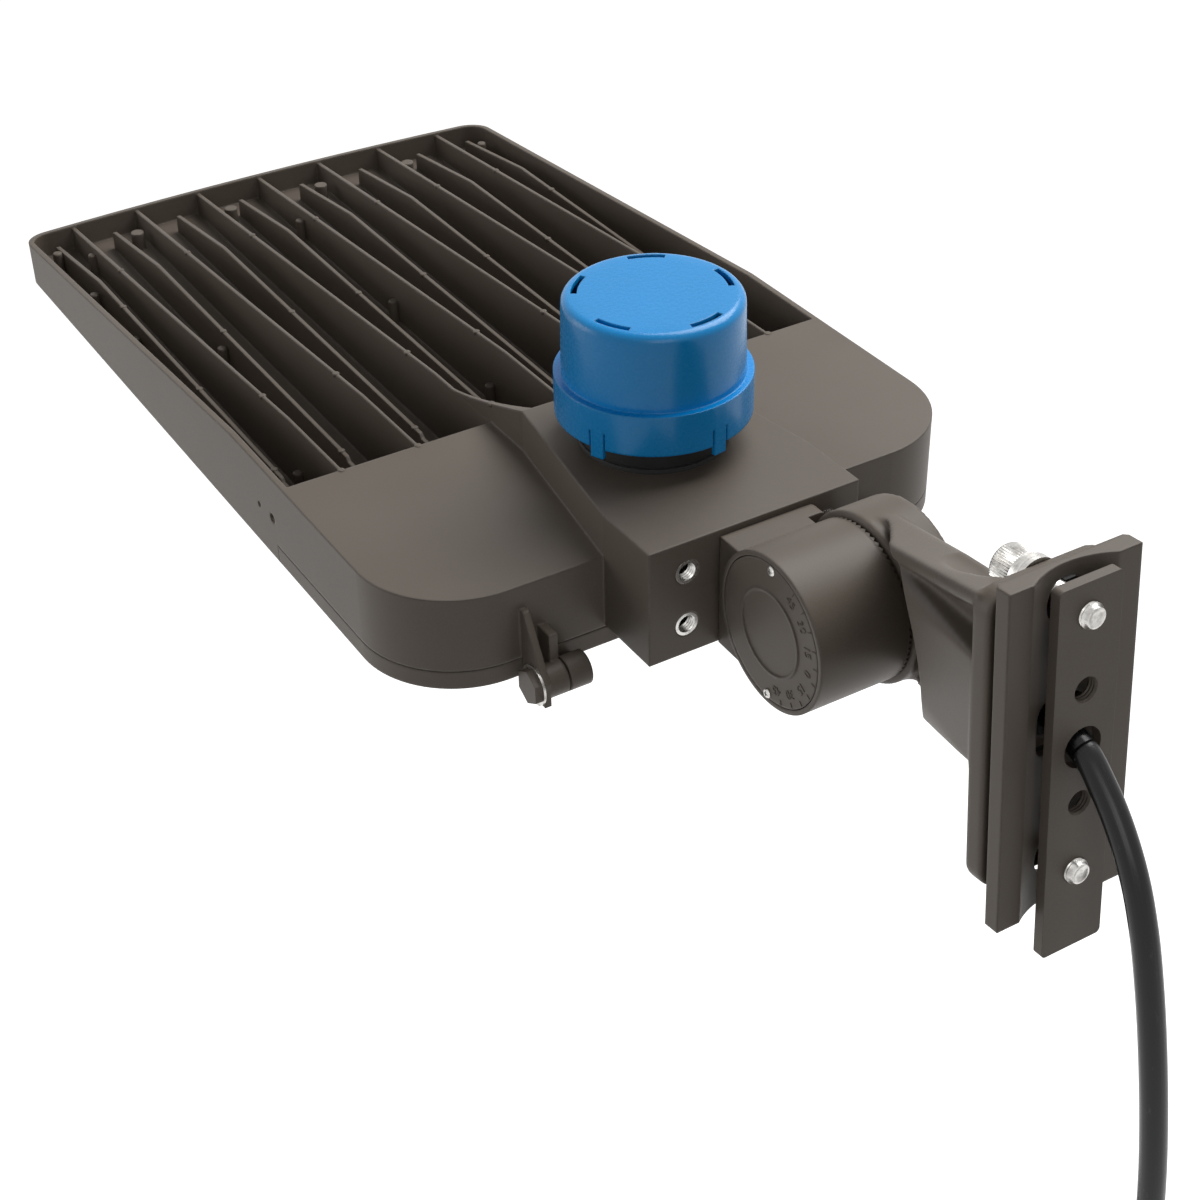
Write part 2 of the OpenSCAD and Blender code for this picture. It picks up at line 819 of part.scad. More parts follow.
module door_gasket() {
    color(soft_black) in_head()
        translate([0, 0, door_seat_z]) linear_extrude(height = door_gasket_t - hair)
            difference() {
                head_slice(wall_t / 6, -door_front + wall_t, bay_l);
                head_outline(wall_t - wall_t / 6);
            }
}

module door_screws() {
    head_h1 = 2 * screw_r;
    color(bright_steel) in_head()
        for (s = [-1, 1])
            translate([s * screw_x, screw_y, rim_z - head_h1 / 2])
                difference() {
                    pan_screw(screw_r, 2 * screw_r, head_h1 / 2, door_t + screw_boss_h);
                    translate([0, 0, -over])
                        cylinder(r = screw_r, h = over + head_h1 / 4, $fn = 6);
                }
}

module hinge_pins() {
    head_t = 3;
    pin_l = lug_barrel_l + loop_gap + loop_l + head_t;
    color(dark_bronze) in_head()
        for (s = [-1, 1])
            mirror([s < 0 ? 1 : 0, 0, 0])
                translate([loop_x - loop_gap, hinge_y, hinge_z]) rotate([0, 90, 0]) {
                    cylinder(r = pin_r, h = pin_l - head_t + loop_gap + hinge_washer_t);
                    translate([0, 0, pin_l - head_t + loop_gap + hinge_washer_t])
                        cylinder(r = 2 * pin_r, h = head_t, $fn = 6);
                }
}

hinge_washer_t = 1;

module hinge_washers() {
    color(bright_steel) in_head()
        for (s = [-1, 1])
            mirror([s < 0 ? 1 : 0, 0, 0])
                translate([hinge_x, hinge_y, hinge_z]) rotate([0, 90, 0])
                    tube(2 * pin_r + over, pin_r + slip, hinge_washer_t);
}

// Photocontrol and its receptacle

receptacle_r = 31.5;
receptacle_gasket_t = 2;
receptacle_gasket_r = 32.5;
receptacle_neck_r = 20;
receptacle_neck_h = 14;
receptacle_screw_x = 25.5;
receptacle_screw_r = 2;
receptacle_seat_z = block_top_z + receptacle_gasket_t;
receptacle_top_z = block_top_z + receptacle_h;
blade_ring_r = 14;
blade_t = 1.6;
blade_w = 9;
blade_l = 12;
blade_slot_t = 3;
twist_sweep = 20;
cap_wall = 2;
cap_d = skirt_d - 2 * cap_step;
base_lip_h = 3;
base_collar_t = 3;

module receptacle_gasket() {
    color(soft_black) in_head()
        translate([0, cap_y, block_top_z]) difference() {
            tube(receptacle_gasket_r, receptacle_neck_r + slip, receptacle_gasket_t);
            for (s = [-1, 1])
                translate([s * receptacle_screw_x, 0, -over])
                    cylinder(r = receptacle_screw_r + hair, h = receptacle_gasket_t + 2 * over);
        }
}

// Slot that a blade sweeps as the photocontrol turns, cut from an upright ring
module blade_slot(angle, depth) {
    half = asin(blade_w / 2 / blade_ring_r) + atan(blade_slot_t / blade_ring_r) / 4;
    rotate([0, 0, angle - half])
        rotate_extrude(angle = 2 * half + twist_sweep)
            translate([blade_ring_r - blade_slot_t / 2 - blade_t / 2, 0])
                square([blade_slot_t + blade_t, depth]);
}

module receptacle() {
    color(soft_black) in_head()
        translate([0, cap_y, receptacle_seat_z]) difference() {
            union() {
                cylinder(r = receptacle_r, h = receptacle_top_z - receptacle_seat_z);
                translate([0, 0, -receptacle_neck_h]) cylinder(r = receptacle_neck_r, h = receptacle_neck_h);
            }
            for (i = [0 : 2])
                translate([0, 0, receptacle_top_z - receptacle_seat_z - blade_l - over])
                    blade_slot(120 * i, blade_l + 2 * over);
            for (s = [-1, 1])
                translate([s * receptacle_screw_x, 0, -over]) {
                    cylinder(r = receptacle_screw_r + hair, h = receptacle_h + 2 * over);
                    translate([0, 0, over + receptacle_h / 2])
                        cylinder(r = 2 * receptacle_screw_r + play, h = receptacle_h);
                }
        }
}

module receptacle_screws() {
    head_t = 1.5 * receptacle_screw_r;
    l = receptacle_gasket_t + receptacle_h / 2 + block_wall;
    color(bright_steel) in_head()
        for (s = [-1, 1])
            translate([s * receptacle_screw_x, cap_y, receptacle_seat_z + receptacle_h / 2 + head_t])
                rotate([180, 0, 0]) pan_screw(receptacle_screw_r, 2 * receptacle_screw_r, head_t, l);
}

module photocontrol_base() {
    color(soft_black) in_head()
        translate([0, cap_y, receptacle_top_z + play]) difference() {
            union() {
                cylinder(r = skirt_d / 2 - cap_wall - play, h = base_lip_h);
                tube(cap_d / 2 - cap_wall - play, cap_d / 2 - cap_wall - play - base_collar_t,
                     skirt_h - cap_wall);
            }
            for (i = [0 : 2]) rotate([0, 0, 120 * i])
                translate([blade_ring_r - blade_t / 2 - hair, -blade_w / 2 - hair, -over])
                    cube([blade_t + 2 * hair, blade_w + 2 * hair, 2 * base_lip_h + 2 * over]);
        }
}

module photocontrol_blades() {
    color(copper) in_head()
        translate([0, cap_y, receptacle_top_z + play - blade_l + base_lip_h])
            for (i = [0 : 2]) rotate([0, 0, 120 * i])
                translate([blade_ring_r - blade_t / 2, -blade_w / 2, 0])
                    cube([blade_t, blade_w, blade_l + 2 * base_lip_h]);
}

board_edge = 3.5;
board_r = cap_d / 2 - cap_wall - play - base_collar_t - board_edge;

module photocontrol_board() {
    color("darkgreen") in_head()
        translate([0, cap_y, receptacle_top_z + play + 3 * base_lip_h])
            cylinder(r = board_r, h = board_t);
}

cap_round = 4;
cap_draft = 0.7;
vent_inset = 6.3;
vent_r = cap_d / 2 - vent_inset;
vent_w = 2.6;
vent_sweep = 28;
vent_angles = [13, 85, 157, 229, 301];
tab_w = 6;
tab_drop = 4.5;
tab_angles = [24, 98];

module cap_section(shell) {
    body_r = cap_d / 2 - shell;
    top = cap_h - shell;
    step_z = skirt_h;
    // the skirt, the step, then the drafted body with its round top edge
    polygon(concat(
        [[0, 0], [skirt_d / 2 - shell, 0], [skirt_d / 2 - shell, step_z - shell], [body_r, step_z - shell]],
        [for (a = [0 : 15 : 90])
            [body_r - cap_draft - cap_round + cap_round * cos(a), top - cap_round + cap_round * sin(a)]],
        [[0, top]]));
}

module photocontrol_cap() {
    color(sky_blue) in_head()
        translate([0, cap_y, receptacle_top_z]) difference() {
            union() {
                rotate_extrude() cap_section(0);
                for (a = tab_angles) rotate([0, 0, a])
                    translate([skirt_d / 2 - cap_wall, -tab_w / 2, -tab_drop])
                        cube([cap_wall, tab_w, tab_drop + skirt_h / 2]);
            }
            translate([0, 0, -over]) cylinder(r = cap_d / 2 - cap_wall, h = 2 * over);
            translate([0, 0, -over])
                cylinder(r = skirt_d / 2 - cap_wall, h = over + skirt_h - cap_wall);
            rotate_extrude() intersection() {
                cap_section(cap_wall);
                square([skirt_d, cap_h]);
            }
            for (a = vent_angles) rotate([0, 0, a])
                translate([0, 0, cap_h - 2 * cap_wall])
                    rotate_extrude(angle = vent_sweep)
                        translate([vent_r - vent_w / 2, 0]) square([vent_w, 3 * cap_wall]);
        }
}

// Knuckle base: foot, neck and barrel, fixed to the block

foot_right = 29;
foot_x = foot_w / 2 - foot_right;
foot_top_z = block_rise - 2.5;
foot_low_z = -block_depth;
foot_z = (foot_top_z + foot_low_z) / 2;
foot_t = 7.5;
foot_screw_z = 17;
foot_screw_r = 3;
foot_corner_r = 8;
neck_left = foot_w - foot_right;
cavity_r = 27;
cavity_depth = 20;
dial_t = 3;
dial_r = 31.5;
dial_seam = 0.4;
pivot_r = 9;
pivot_bore_r = 4.5;
pivot_head_r = 15;
pivot_head_t = 5;
wire_x = 13;
teeth_r = 22;
boss_wall = 4;
dial_x = barrel_left - dial_t;
hollow_left = dial_x - cavity_depth + dial_t;

module neck_profile() {
    rear = block_rear_y + foot_gasket_t;
    polygon([[rear, foot_low_z],
             [axis_y - barrel_r / 4, axis_z - barrel_r * 0.96],
             [axis_y, axis_z - barrel_r / 2],
             [axis_y, axis_z + barrel_r / 2],
             [axis_y - barrel_r * 0.7, foot_top_z],
             [rear, foot_top_z]]);
}

module knuckle_base() {
    rear = block_rear_y + foot_gasket_t;
    color(bronze) in_head() difference() {
        union() {
            translate([foot_x, rear + foot_t, foot_z]) rotate([90, 0, 0])
                linear_extrude(height = foot_t)
                    round_rect(foot_w, foot_top_z - foot_low_z, foot_corner_r / 2);
            translate([-joint_x, 0, 0])
                rotate([90, 0, 90])
                    linear_extrude(height = neck_left + joint_x) neck_profile();
            translate([0, axis_y, axis_z]) on_axis(-joint_x)
                cylinder(r = barrel_r, h = joint_x + barrel_left);
        }
        // seat of the dial cap and the hollow behind it
        translate([0, axis_y, axis_z]) {
            on_axis(dial_x) cylinder(r = dial_r + dial_seam, h = dial_t + over);
            on_axis(hollow_left) cylinder(r = cavity_r, h = cavity_depth + over);
            on_axis(-joint_x - over) cylinder(r = pivot_r + slip, h = 2 * barrel_r);
            for (sz = [-1, 1])
                translate([0, 0, sz * dial_screw_r_at]) on_axis(hollow_left)
                    cylinder(r = dial_screw_r + slip, h = cavity_depth + over, $fn = 24);
        }
        // room for the arm's half of the knuckle
        translate([0, axis_y, axis_z])
            on_axis(-joint_x - 2 * barrel_r) cylinder(r = arm_r + over, h = 2 * barrel_r);
        // way for the leads, and tapped holes for the foot screws
        translate([wire_x, rear - over, axis_z]) rotate([-90, 0, 0])
            cylinder(r = wire_hole_r, h = axis_back - cavity_r / 2);
        for (sz = [-1, 1])
            translate([foot_x, rear - over, foot_z + sz * foot_screw_z]) rotate([-90, 0, 0])
                cylinder(r = foot_screw_r + slip, h = foot_t + over);
    }
}

module foot_gasket() {
    color(soft_black) in_head() difference() {
        translate([foot_x, block_rear_y + foot_gasket_t, foot_z]) rotate([90, 0, 0])
            linear_extrude(height = foot_gasket_t)
                round_rect(foot_w - over, foot_top_z - foot_low_z - over, foot_corner_r / 2);
        translate([wire_x, block_rear_y - over, axis_z]) rotate([-90, 0, 0])
            cylinder(r = wire_hole_r, h = foot_gasket_t + 2 * over);
        for (sz = [-1, 1])
            translate([foot_x, block_rear_y - over, foot_z + sz * foot_screw_z]) rotate([-90, 0, 0])
                cylinder(r = foot_screw_r + play, h = foot_gasket_t + 2 * over);
    }
}

module foot_screws() {
    head_t = foot_screw_r;
    color(bright_steel) in_head()
        for (sz = [-1, 1])
            translate([foot_x, block_rear_y - block_wall - head_t, foot_z + sz * foot_screw_z])
                rotate([-90, 0, 0]) pan_screw(foot_screw_r, 1.6 * foot_screw_r, head_t,
                                              block_wall + foot_gasket_t + foot_t - over / 2);
}

// Dial cap and its two screws

dial_screw_r_at = 29.4;
dial_screw_r = 1.2;
dial_screw_head_r = 2;
dial_ring_r = 18;
dial_ring_h = 0.6;

module dial_cap() {
    color(bronze) in_head() translate([0, axis_y, axis_z]) difference() {
        union() {
            on_axis(dial_x) cylinder(r = dial_r, h = dial_t);
            on_axis(dial_x) tube(dial_ring_r + 2 * dial_ring_h, dial_ring_r, dial_t + dial_ring_h);
        }
        for (sz = [-1, 1])
            translate([0, 0, sz * dial_screw_r_at]) on_axis(dial_x - over)
                cylinder(r = dial_screw_r + slip, h = dial_t + 2 * over, $fn = 24);
    }
}

module dial_screws() {
    color(bright_steel) in_head() translate([0, axis_y, axis_z])
        for (sz = [-1, 1])
            translate([0, 0, sz * dial_screw_r_at]) {
                on_axis(dial_x + dial_t)
                    cylinder(r = dial_screw_head_r, h = dial_screw_head_r / 2, $fn = 24);
                on_axis(hollow_left + over)
                    cylinder(r = dial_screw_r, h = cavity_depth - over, $fn = 24);
            }
}

// Hollow pivot bolt that clamps the two halves of the knuckle

pivot_washer_t = 2;
nut_t = 5;
spring_t = 1.5;
arm_wall_x = 7;
nut_seat_x = -joint_x - tooth_gap - arm_wall_x;

module pivot_bolt() {
    head_x = hollow_left + pivot_washer_t;
    shank_end = nut_seat_x - spring_t - nut_t - over;
    color(bright_steel) in_head() translate([0, axis_y, axis_z]) difference() {
        union() {
            on_axis(shank_end) cylinder(r = pivot_r, h = head_x - shank_end);
            on_axis(head_x) cylinder(r = pivot_head_r, h = pivot_head_t, $fn = 6);
        }
        on_axis(shank_end - over)
            cylinder(r = pivot_bore_r, h = head_x + pivot_head_t - shank_end + 2 * over);
    }
}

module pivot_washer() {
    color(bright_steel) in_head() translate([0, axis_y, axis_z])
        on_axis(hollow_left) tube(pivot_head_r + over, pivot_r + hair, pivot_washer_t);
}

// Tube swept along a route, as one closed surface

function unit(v) = v / norm(v);
function route_dir(p, i) =
    i == 0 ? unit(p[1] - p[0])
    : i == len(p) - 1 ? unit(p[i] - p[i - 1])
    : unit(unit(p[i + 1] - p[i]) + unit(p[i] - p[i - 1]));
function side_of(d, near) = unit(near - (near * d) * d);
// Side vectors carried along the route, so that the tube doesn't twist
function carried_sides(p, i, near) =
    i == len(p) ? []
    : let (s = side_of(route_dir(p, i), near)) concat([s], carried_sides(p, i + 1, s));
function ring_points(p, sides_n, r, first) =
    let (sides = carried_sides(p, 0, first))
    [for (i = [0 : len(p) - 1])
        let (d = route_dir(p, i), a = sides[i], b = cross(d, a))
        for (k = [0 : sides_n - 1])
            p[i] + r * (cos(360 * k / sides_n) * a + sin(360 * k / sides_n) * b)];
function tube_faces(n, m) = concat(
    [[for (k = [0 : m - 1]) k]],
    [for (i = [0 : n - 2], k = [0 : m - 1])
        each [[i * m + k, (i + 1) * m + k, i * m + (k + 1) % m],
              [(i + 1) * m + k, (i + 1) * m + (k + 1) % m, i * m + (k + 1) % m]]],
    [[for (k = [m - 1 : -1 : 0]) (n - 1) * m + k]]);
module swept_tube(p, r, sides_n, first) {
    polyhedron(points = ring_points(p, sides_n, r, first),
               faces = tube_faces(len(p), sides_n), convexity = 10);
}

// Inner leads, through the hollow pivot

lead_r = 2.5;
lead_turn = 5;
lead_sides = 8;
lead_joint_x = -joint_x - tooth_gap / 2;

// Points of a quarter turn about a centre, from -to_side to +to_end
function quarter(centre, to_end, to_side, r) =
    [for (a = [15 : 15 : 75]) centre + r * (sin(a) * to_end - cos(a) * to_side)];

module head_leads() {
    start = [wire_x, block_rear_y - block_over, axis_z];
    turn_at = [wire_x, axis_y - lead_turn, axis_z];
    centre = [wire_x - lead_turn, axis_y - lead_turn, axis_z];
    straight = [[wire_x - lead_turn, axis_y, axis_z], [lead_joint_x + hair, axis_y, axis_z]];
    color("dimgray") in_head()
        swept_tube(concat([start, turn_at], quarter(centre, [0, 1, 0], [-1, 0, 0], lead_turn), straight),
                   lead_r, lead_sides, [0, 0, 1]);
}

// Arm: second half of the knuckle, the arm and its wall plate

arm_far_x = -joint_x - tooth_gap - arm_half_w;
arm_near_x = -joint_x - tooth_gap;
plate_back_y = -adaptor_t - plate_gasket_t;
plate_front_y = plate_back_y - plate_t;
plate_corner_r = 9;
plate_mid = -0.5;
root_t = 2;
arm_low_z = -10;
arm_high_z = 16;
shelf_high_z = 33;
shelf_w = 7;
web_high_z = 50;
web_inset = 12;
limb_ring = 6.4;
ring_room = 1.5;
ring_slope = 1.1;
limb_start_y = 30;
limb_start_z = 25.5;
horn_w = 15;
horn_h = 5;
horn_inset = 1;
ring_clear = 2.5;
pocket_r = 11.5;
cable_z = 4;
cable_hole_r = 8;
bushing_wall = 2.4;

module arm_disc(x0, x1, r) {
    translate([0, knuckle_y, knuckle_z]) on_axis(x0) cylinder(r = r, h = x1 - x0, $fn = 48);
}

limb_near_x = arm_near_x - limb_ring;
limb_top_z = knuckle_z + limb_start_z;

// Limb from a part of the knuckle disc to a band of the plate, between two
// heights; the part of the disc lies between a depth and the two limits
module arm_limb(disc_x, disc_low_z, disc_top_z, from_x, to_x, low_z, top_z) {
    hull() {
        intersection() {
            arm_disc(disc_x, limb_near_x, arm_r - horn_inset);
            translate([arm_far_x, knuckle_y - arm_r, disc_low_z])
                cube([arm_half_w, arm_r + limb_start_y, disc_top_z - disc_low_z]);
        }
        translate([from_x, plate_front_y, low_z])
            cube([to_x - from_x, root_t, top_z - low_z]);
    }
}

// Main limb, the shelf along its side, the horn to the plate's upper corner
// and the web that carries the horn
module arm_body() {
    half = plate_w / 2 - horn_inset;
    horn_x = half - horn_w;
    horn_top_z = plate_mid + plate_h / 2 - 2 * horn_inset;
    disc_low_z = knuckle_z - arm_r;
    disc_top_z = knuckle_z + arm_r;
    arm_limb(arm_far_x, disc_low_z, limb_top_z, -half, half, arm_low_z, arm_high_z);
    arm_limb(limb_near_x - shelf_w, disc_low_z, disc_top_z, horn_x, half, arm_low_z, shelf_high_z);
    arm_limb(arm_far_x, limb_top_z - horn_h, limb_top_z, horn_x, half, horn_top_z - horn_h, horn_top_z);
    arm_limb(arm_far_x, disc_low_z, limb_top_z, horn_x, half - web_inset, arm_low_z, web_high_z);
}

// Room round the toothed joint, which widens towards the head
module ring_clearance() {
    reach = arm_half_w + plate_w;
    translate([0, knuckle_y, knuckle_z])
        on_axis(limb_near_x)
            cylinder(r1 = arm_r + ring_room, r2 = arm_r + ring_room + ring_slope * reach, h = reach);
}

module arm() {
    color(bronze) difference() {
        union() {
            translate([0, plate_back_y, plate_mid]) rotate([90, 0, 0])
                linear_extrude(height = plate_t) round_rect(plate_w, plate_h, plate_corner_r);
            arm_disc(arm_far_x, arm_near_x, arm_r);
            difference() {
                arm_body();
                ring_clearance();
                // room for the pole bolts and their heads
                for (s = [-1, 1])
                    translate([0, knuckle_y, s * bolt_pitch / 2]) rotate([-90, 0, 0])
                        cylinder(r = pocket_r, h = plate_front_y - knuckle_y);
            }
        }
        // room for the head's half of the knuckle
        translate([0, knuckle_y, knuckle_z]) {
            on_axis(arm_near_x) cylinder(r = arm_r + ring_clear, h = 3 * barrel_r);
            on_axis(arm_far_x - over) cylinder(r = pivot_r + slip, h = arm_half_w + 2 * over);
            on_axis(arm_far_x + arm_cover_t)
                cylinder(r = nut_room_r, h = nut_seat_x - arm_far_x - arm_cover_t);
            on_axis(arm_near_x - seal_depth) tube(seal_r + seal_w + hair, seal_r - hair, seal_depth + over);
        }
        // way of the leads to the plate
        way_of_leads();
        for (s = [-1, 1])
            translate([0, knuckle_y, s * bolt_pitch / 2]) rotate([-90, 0, 0])
                cylinder(r = bolt_d / 2 + play, h = arm_reach);
        translate([0, plate_back_y - plate_t - bushing_depth, cable_z]) rotate([-90, 0, 0])
            cylinder(r = cable_hole_r, h = plate_t + bushing_depth + over);
    }
}

arm_cover_t = 3;
nut_room_r = 17;
seal_r = 24;
seal_w = 4;
seal_depth = 1;
bushing_depth = 8;
lead_way_r = 4;
lead_side_x = arm_far_x + arm_cover_t + lead_way_r;
lead_from = [lead_side_x, knuckle_y + nut_room_r, knuckle_z];
lead_to = [0, plate_front_y - bushing_depth, cable_z];

// Straight bore from the nut's room to the bushing
module way_of_leads() {
    d = lead_to - lead_from;
    translate(lead_from)
        rotate([0, acos(d[2] / norm(d)), atan2(d[1], d[0])])
            translate([0, 0, -lead_way_r]) cylinder(r = lead_way_r, h = norm(d) + lead_way_r);
}

module joint_seal() {
    color(soft_black) translate([0, knuckle_y, knuckle_z])
        on_axis(arm_near_x - seal_depth + hair)
            tube(seal_r + seal_w, seal_r, seal_depth + tooth_gap - play - hair);
}

module pivot_spring_washer() {
    color(bright_steel) translate([0, knuckle_y, knuckle_z])
        on_axis(nut_seat_x - spring_t) tube(nut_room_r - 2 * over, pivot_r + hair, spring_t);
}

module pivot_nut() {
    color(bright_steel) translate([0, knuckle_y, knuckle_z]) difference() {
        on_axis(nut_seat_x - spring_t - nut_t) cylinder(r = nut_room_r - 2 * over, h = nut_t, $fn = 6);
        on_axis(nut_seat_x - spring_t - nut_t - over) cylinder(r = pivot_r + slip, h = nut_t + 2 * over);
    }
}

module arm_leads() {
    start = [[lead_joint_x - hair, knuckle_y, knuckle_z], [lead_side_x + lead_turn, knuckle_y, knuckle_z]];
    centre = [lead_side_x + lead_turn, knuckle_y + lead_turn, knuckle_z];
    beside = [lead_side_x, knuckle_y + lead_turn, knuckle_z];
    color("dimgray")
        swept_tube(concat(start,
                          quarter(centre, [-1, 0, 0], [0, 1, 0], lead_turn),
                          [beside, lead_from, lead_to]),
                   lead_r, lead_sides, [0, 0, 1]);
}

// Plate gasket, pole adaptor, bushing and the backing bar

gasket_inset = 3;
slot_w = 22;
slot_up = 14;
slot_down = 8;
slot_r = 6;
bolt_window_r = 8.5;
adaptor_chamfer = 1.5;

module cable_slot(grow, h) {
    translate([0, 0, (slot_up - slot_down) / 2]) rotate([90, 0, 0])
        linear_extrude(height = h, center = true)
            round_rect(slot_w + grow, slot_up + slot_down + grow, slot_r);
}

module plate_gasket() {
    color(soft_black) difference() {
        translate([0, plate_back_y + plate_gasket_t, plate_mid]) rotate([90, 0, 0])
            linear_extrude(height = plate_gasket_t)
                round_rect(plate_w - 2 * gasket_inset,
                           plate_h - 2 * gasket_inset,
                           plate_corner_r - gasket_inset);
        cable_slot(0, 4 * adaptor_t);
        for (s = [-1, 1])
            translate([0, plate_back_y - over, s * bolt_pitch / 2]) rotate([-90, 0, 0])
                cylinder(r = bolt_d / 2 + play, h = plate_gasket_t + 2 * over);
    }
}

module pole_adaptor() {
    sag = saddle_r - sqrt(saddle_r * saddle_r - saddle_w * saddle_w / 4);
    adaptor_mid = -3;
    color(dark_bronze) difference() {
        translate([0, 0, adaptor_mid - adaptor_h / 2])
            linear_extrude(height = adaptor_h)
                difference() {
                    polygon([[-plate_w / 2, 0],
                             [-plate_w / 2, adaptor_chamfer - adaptor_t],
                             [adaptor_chamfer - plate_w / 2, -adaptor_t],
                             [plate_w / 2 - adaptor_chamfer, -adaptor_t],
                             [plate_w / 2, adaptor_chamfer - adaptor_t],
                             [plate_w / 2, 0]]);
                    translate([0, saddle_r - sag]) circle(r = saddle_r, $fn = 128);
                }
        cable_slot(0, 4 * adaptor_t);
        for (s = [-1, 1])
            translate([0, -adaptor_t - over, s * bolt_pitch / 2]) rotate([-90, 0, 0])
                cylinder(r = bolt_window_r, h = adaptor_t + 2 * over);
    }
}

module cord_bushing() {
    color(soft_black) translate([0, plate_back_y - plate_t - bushing_depth / 2, cable_z]) rotate([-90, 0, 0])
        tube(cable_hole_r - slip, cord_d / 2 + slip, plate_t + bushing_depth / 2);
}

bar_y = pole_wall;
bar_edge_r = 2;
bar_cable_r = 8;

module backing_bar() {
    color(dark_bronze) difference() {
        translate([0, bar_y, (bar_up - bar_down) / 2]) rotate([-90, 0, 0])
            linear_extrude(height = bar_t) round_rect(bar_w, bar_up + bar_down, bar_edge_r);
        translate([0, bar_y - over, 0]) rotate([-90, 0, 0]) {
            cylinder(r = bar_cable_r, h = bar_t + 2 * over);
            for (s = [-1, 1]) {
                translate([0, s * spare_pitch / 2, 0]) cylinder(r = bolt_d / 2, h = bar_t + 2 * over);
                translate([0, s * bolt_pitch / 2, 0]) cylinder(r = bolt_d / 2 + slip, h = bar_t + 2 * over);
            }
        }
    }
}

// Pole bolts with their washers

washer_t = 2;
spring_washer_t = 2.5;
bolt_head_h = 10;
bolt_head_r = 8;
socket_r = 4.6;
bolt_tail = 3;
washer_r = 9;
head_seat_y = plate_front_y - 2 * washer_t - spring_washer_t;

module pole_bolt(side) {
    color(bright_steel) translate([0, head_seat_y, side * bolt_pitch / 2]) rotate([-90, 0, 0])
        difference() {
            union() {
                translate([0, 0, -bolt_head_h]) cylinder(r = bolt_head_r, h = bolt_head_h);
                cylinder(r = bolt_d / 2, h = bar_y + bar_t + bolt_tail - head_seat_y);
            }
            translate([0, 0, -bolt_head_h - over])
                cylinder(r = socket_r, h = bolt_head_h / 2 + over, $fn = 6);
        }
}

module upper_pole_bolt() { pole_bolt(1); }
module lower_pole_bolt() { pole_bolt(-1); }

module flat_washers() {
    color(bright_steel)
        for (s = [-1, 1], k = [1, 2])
            translate([0, plate_front_y - k * washer_t, s * bolt_pitch / 2]) rotate([-90, 0, 0])
                tube(washer_r, bolt_d / 2 + play, washer_t - hair);
}

module spring_washers() {
    color(bright_steel)
        for (s = [-1, 1])
            translate([0, head_seat_y, s * bolt_pitch / 2]) rotate([-90, 0, 0])
                tube(bolt_head_r, bolt_d / 2 + play, spring_washer_t);
}

// Supply cord: the inner length, the free stretch, the coil and its end

exit_y = bar_y + bar_t;
inner_route = [[0, -25.6, 4], [0, -10, 4], [0, -6, 3.7], [0, -2, 2.9], [0, 2.5, 1.4], [0, 7.3, -0.8]];
free_route = [[0, 7.3, -0.8], [0, 9.5, -1.808], [0, 12.6, -4.4], [0, 17, -9], [0, 21.5, -14],
              [0, 26, -20], [0, 30, -26.4], [0, 33.5, -33], [0, 37, -41],
              [0, 40, -50], [0, 43, -61], [0, 45.5, -73], [0, 48, -87],
              [0, 50.2, -102], [0, 52.2, -118], [0, 54, -136], [0, 55.4, -156], [0, 56, -178],
              [0, 56, -202], [0, 56, -230], [0, 56, -260], [0, 56, -292]];
cord_sides = 10;
coil_r = 56;
coil_turns = 1.75;
coil_pitch = 11.5;
coil_steps = 24;
coil_sides = 6;
coil_centre = [0, 0, -302];

// Points of the coil: it starts downwards and climbs towards +X
function coil_point(t) =
    coil_centre + [coil_pitch * t, coil_r * cos(360 * t), -coil_r * sin(360 * t)];
coil_loops = [for (i = [0 : coil_steps * coil_turns]) coil_point(i / coil_steps)];
coil_last = coil_loops[len(coil_loops) - 1];
coil_out = coil_last - coil_loops[len(coil_loops) - 2];
coil_end_dir = coil_out / norm(coil_out);
coil_route = concat([coil_point(0) + [0, 0, cord_d]], coil_loops, [coil_last + cord_d * coil_end_dir]);
coil_gap = min([for (i = [0 : coil_steps], j = [i + coil_steps / 2 : len(coil_loops) - 1])
    norm(coil_loops[i] - coil_loops[j])]) - cord_d;
echo("least gap of the coil to itself", coil_gap);

module inner_cord() {
    color(soft_black) swept_tube(inner_route, cord_d / 2, cord_sides, [1, 0, 0]);
}

module supply_cord() {
    color(soft_black) swept_tube(free_route, cord_d / 2, cord_sides, [1, 0, 0]);
}

module cord_coil() {
    color(soft_black) swept_tube(coil_route, cord_d / 2, coil_sides, [1, 0, 0]);
}

module coil_tie() {
    tie_w = 5;
    tie_t = 1;
    color("gray")
        translate([coil_pitch * 3 / 4, 0, coil_centre[2] - coil_r])
            rotate([90, 0, 0])
                linear_extrude(height = tie_w, center = true)
                    difference() {
                        round_rect(coil_pitch + cord_d + 3 * tie_t, cord_d + 3 * tie_t, cord_d / 2);
                        round_rect(coil_pitch + cord_d + tie_t, cord_d + tie_t, cord_d / 2 - tie_t);
                    }
}

module cord_conductors() {
    last = coil_route[len(coil_route) - 1];
    dir = coil_end_dir;
    wire_r = 1.4;
    spread = 2.4;
    wire_l = 32;
    side = cross(dir, [1, 0, 0]);
    color(copper)
        for (a = [0 : 120 : 240]) {
            off = spread * (cos(a) * [1, 0, 0] + sin(a) * side);
            swept_tube([last + off + hair * dir, last + off + wire_l * dir], wire_r, 8, [1, 0, 0]);
        }
}

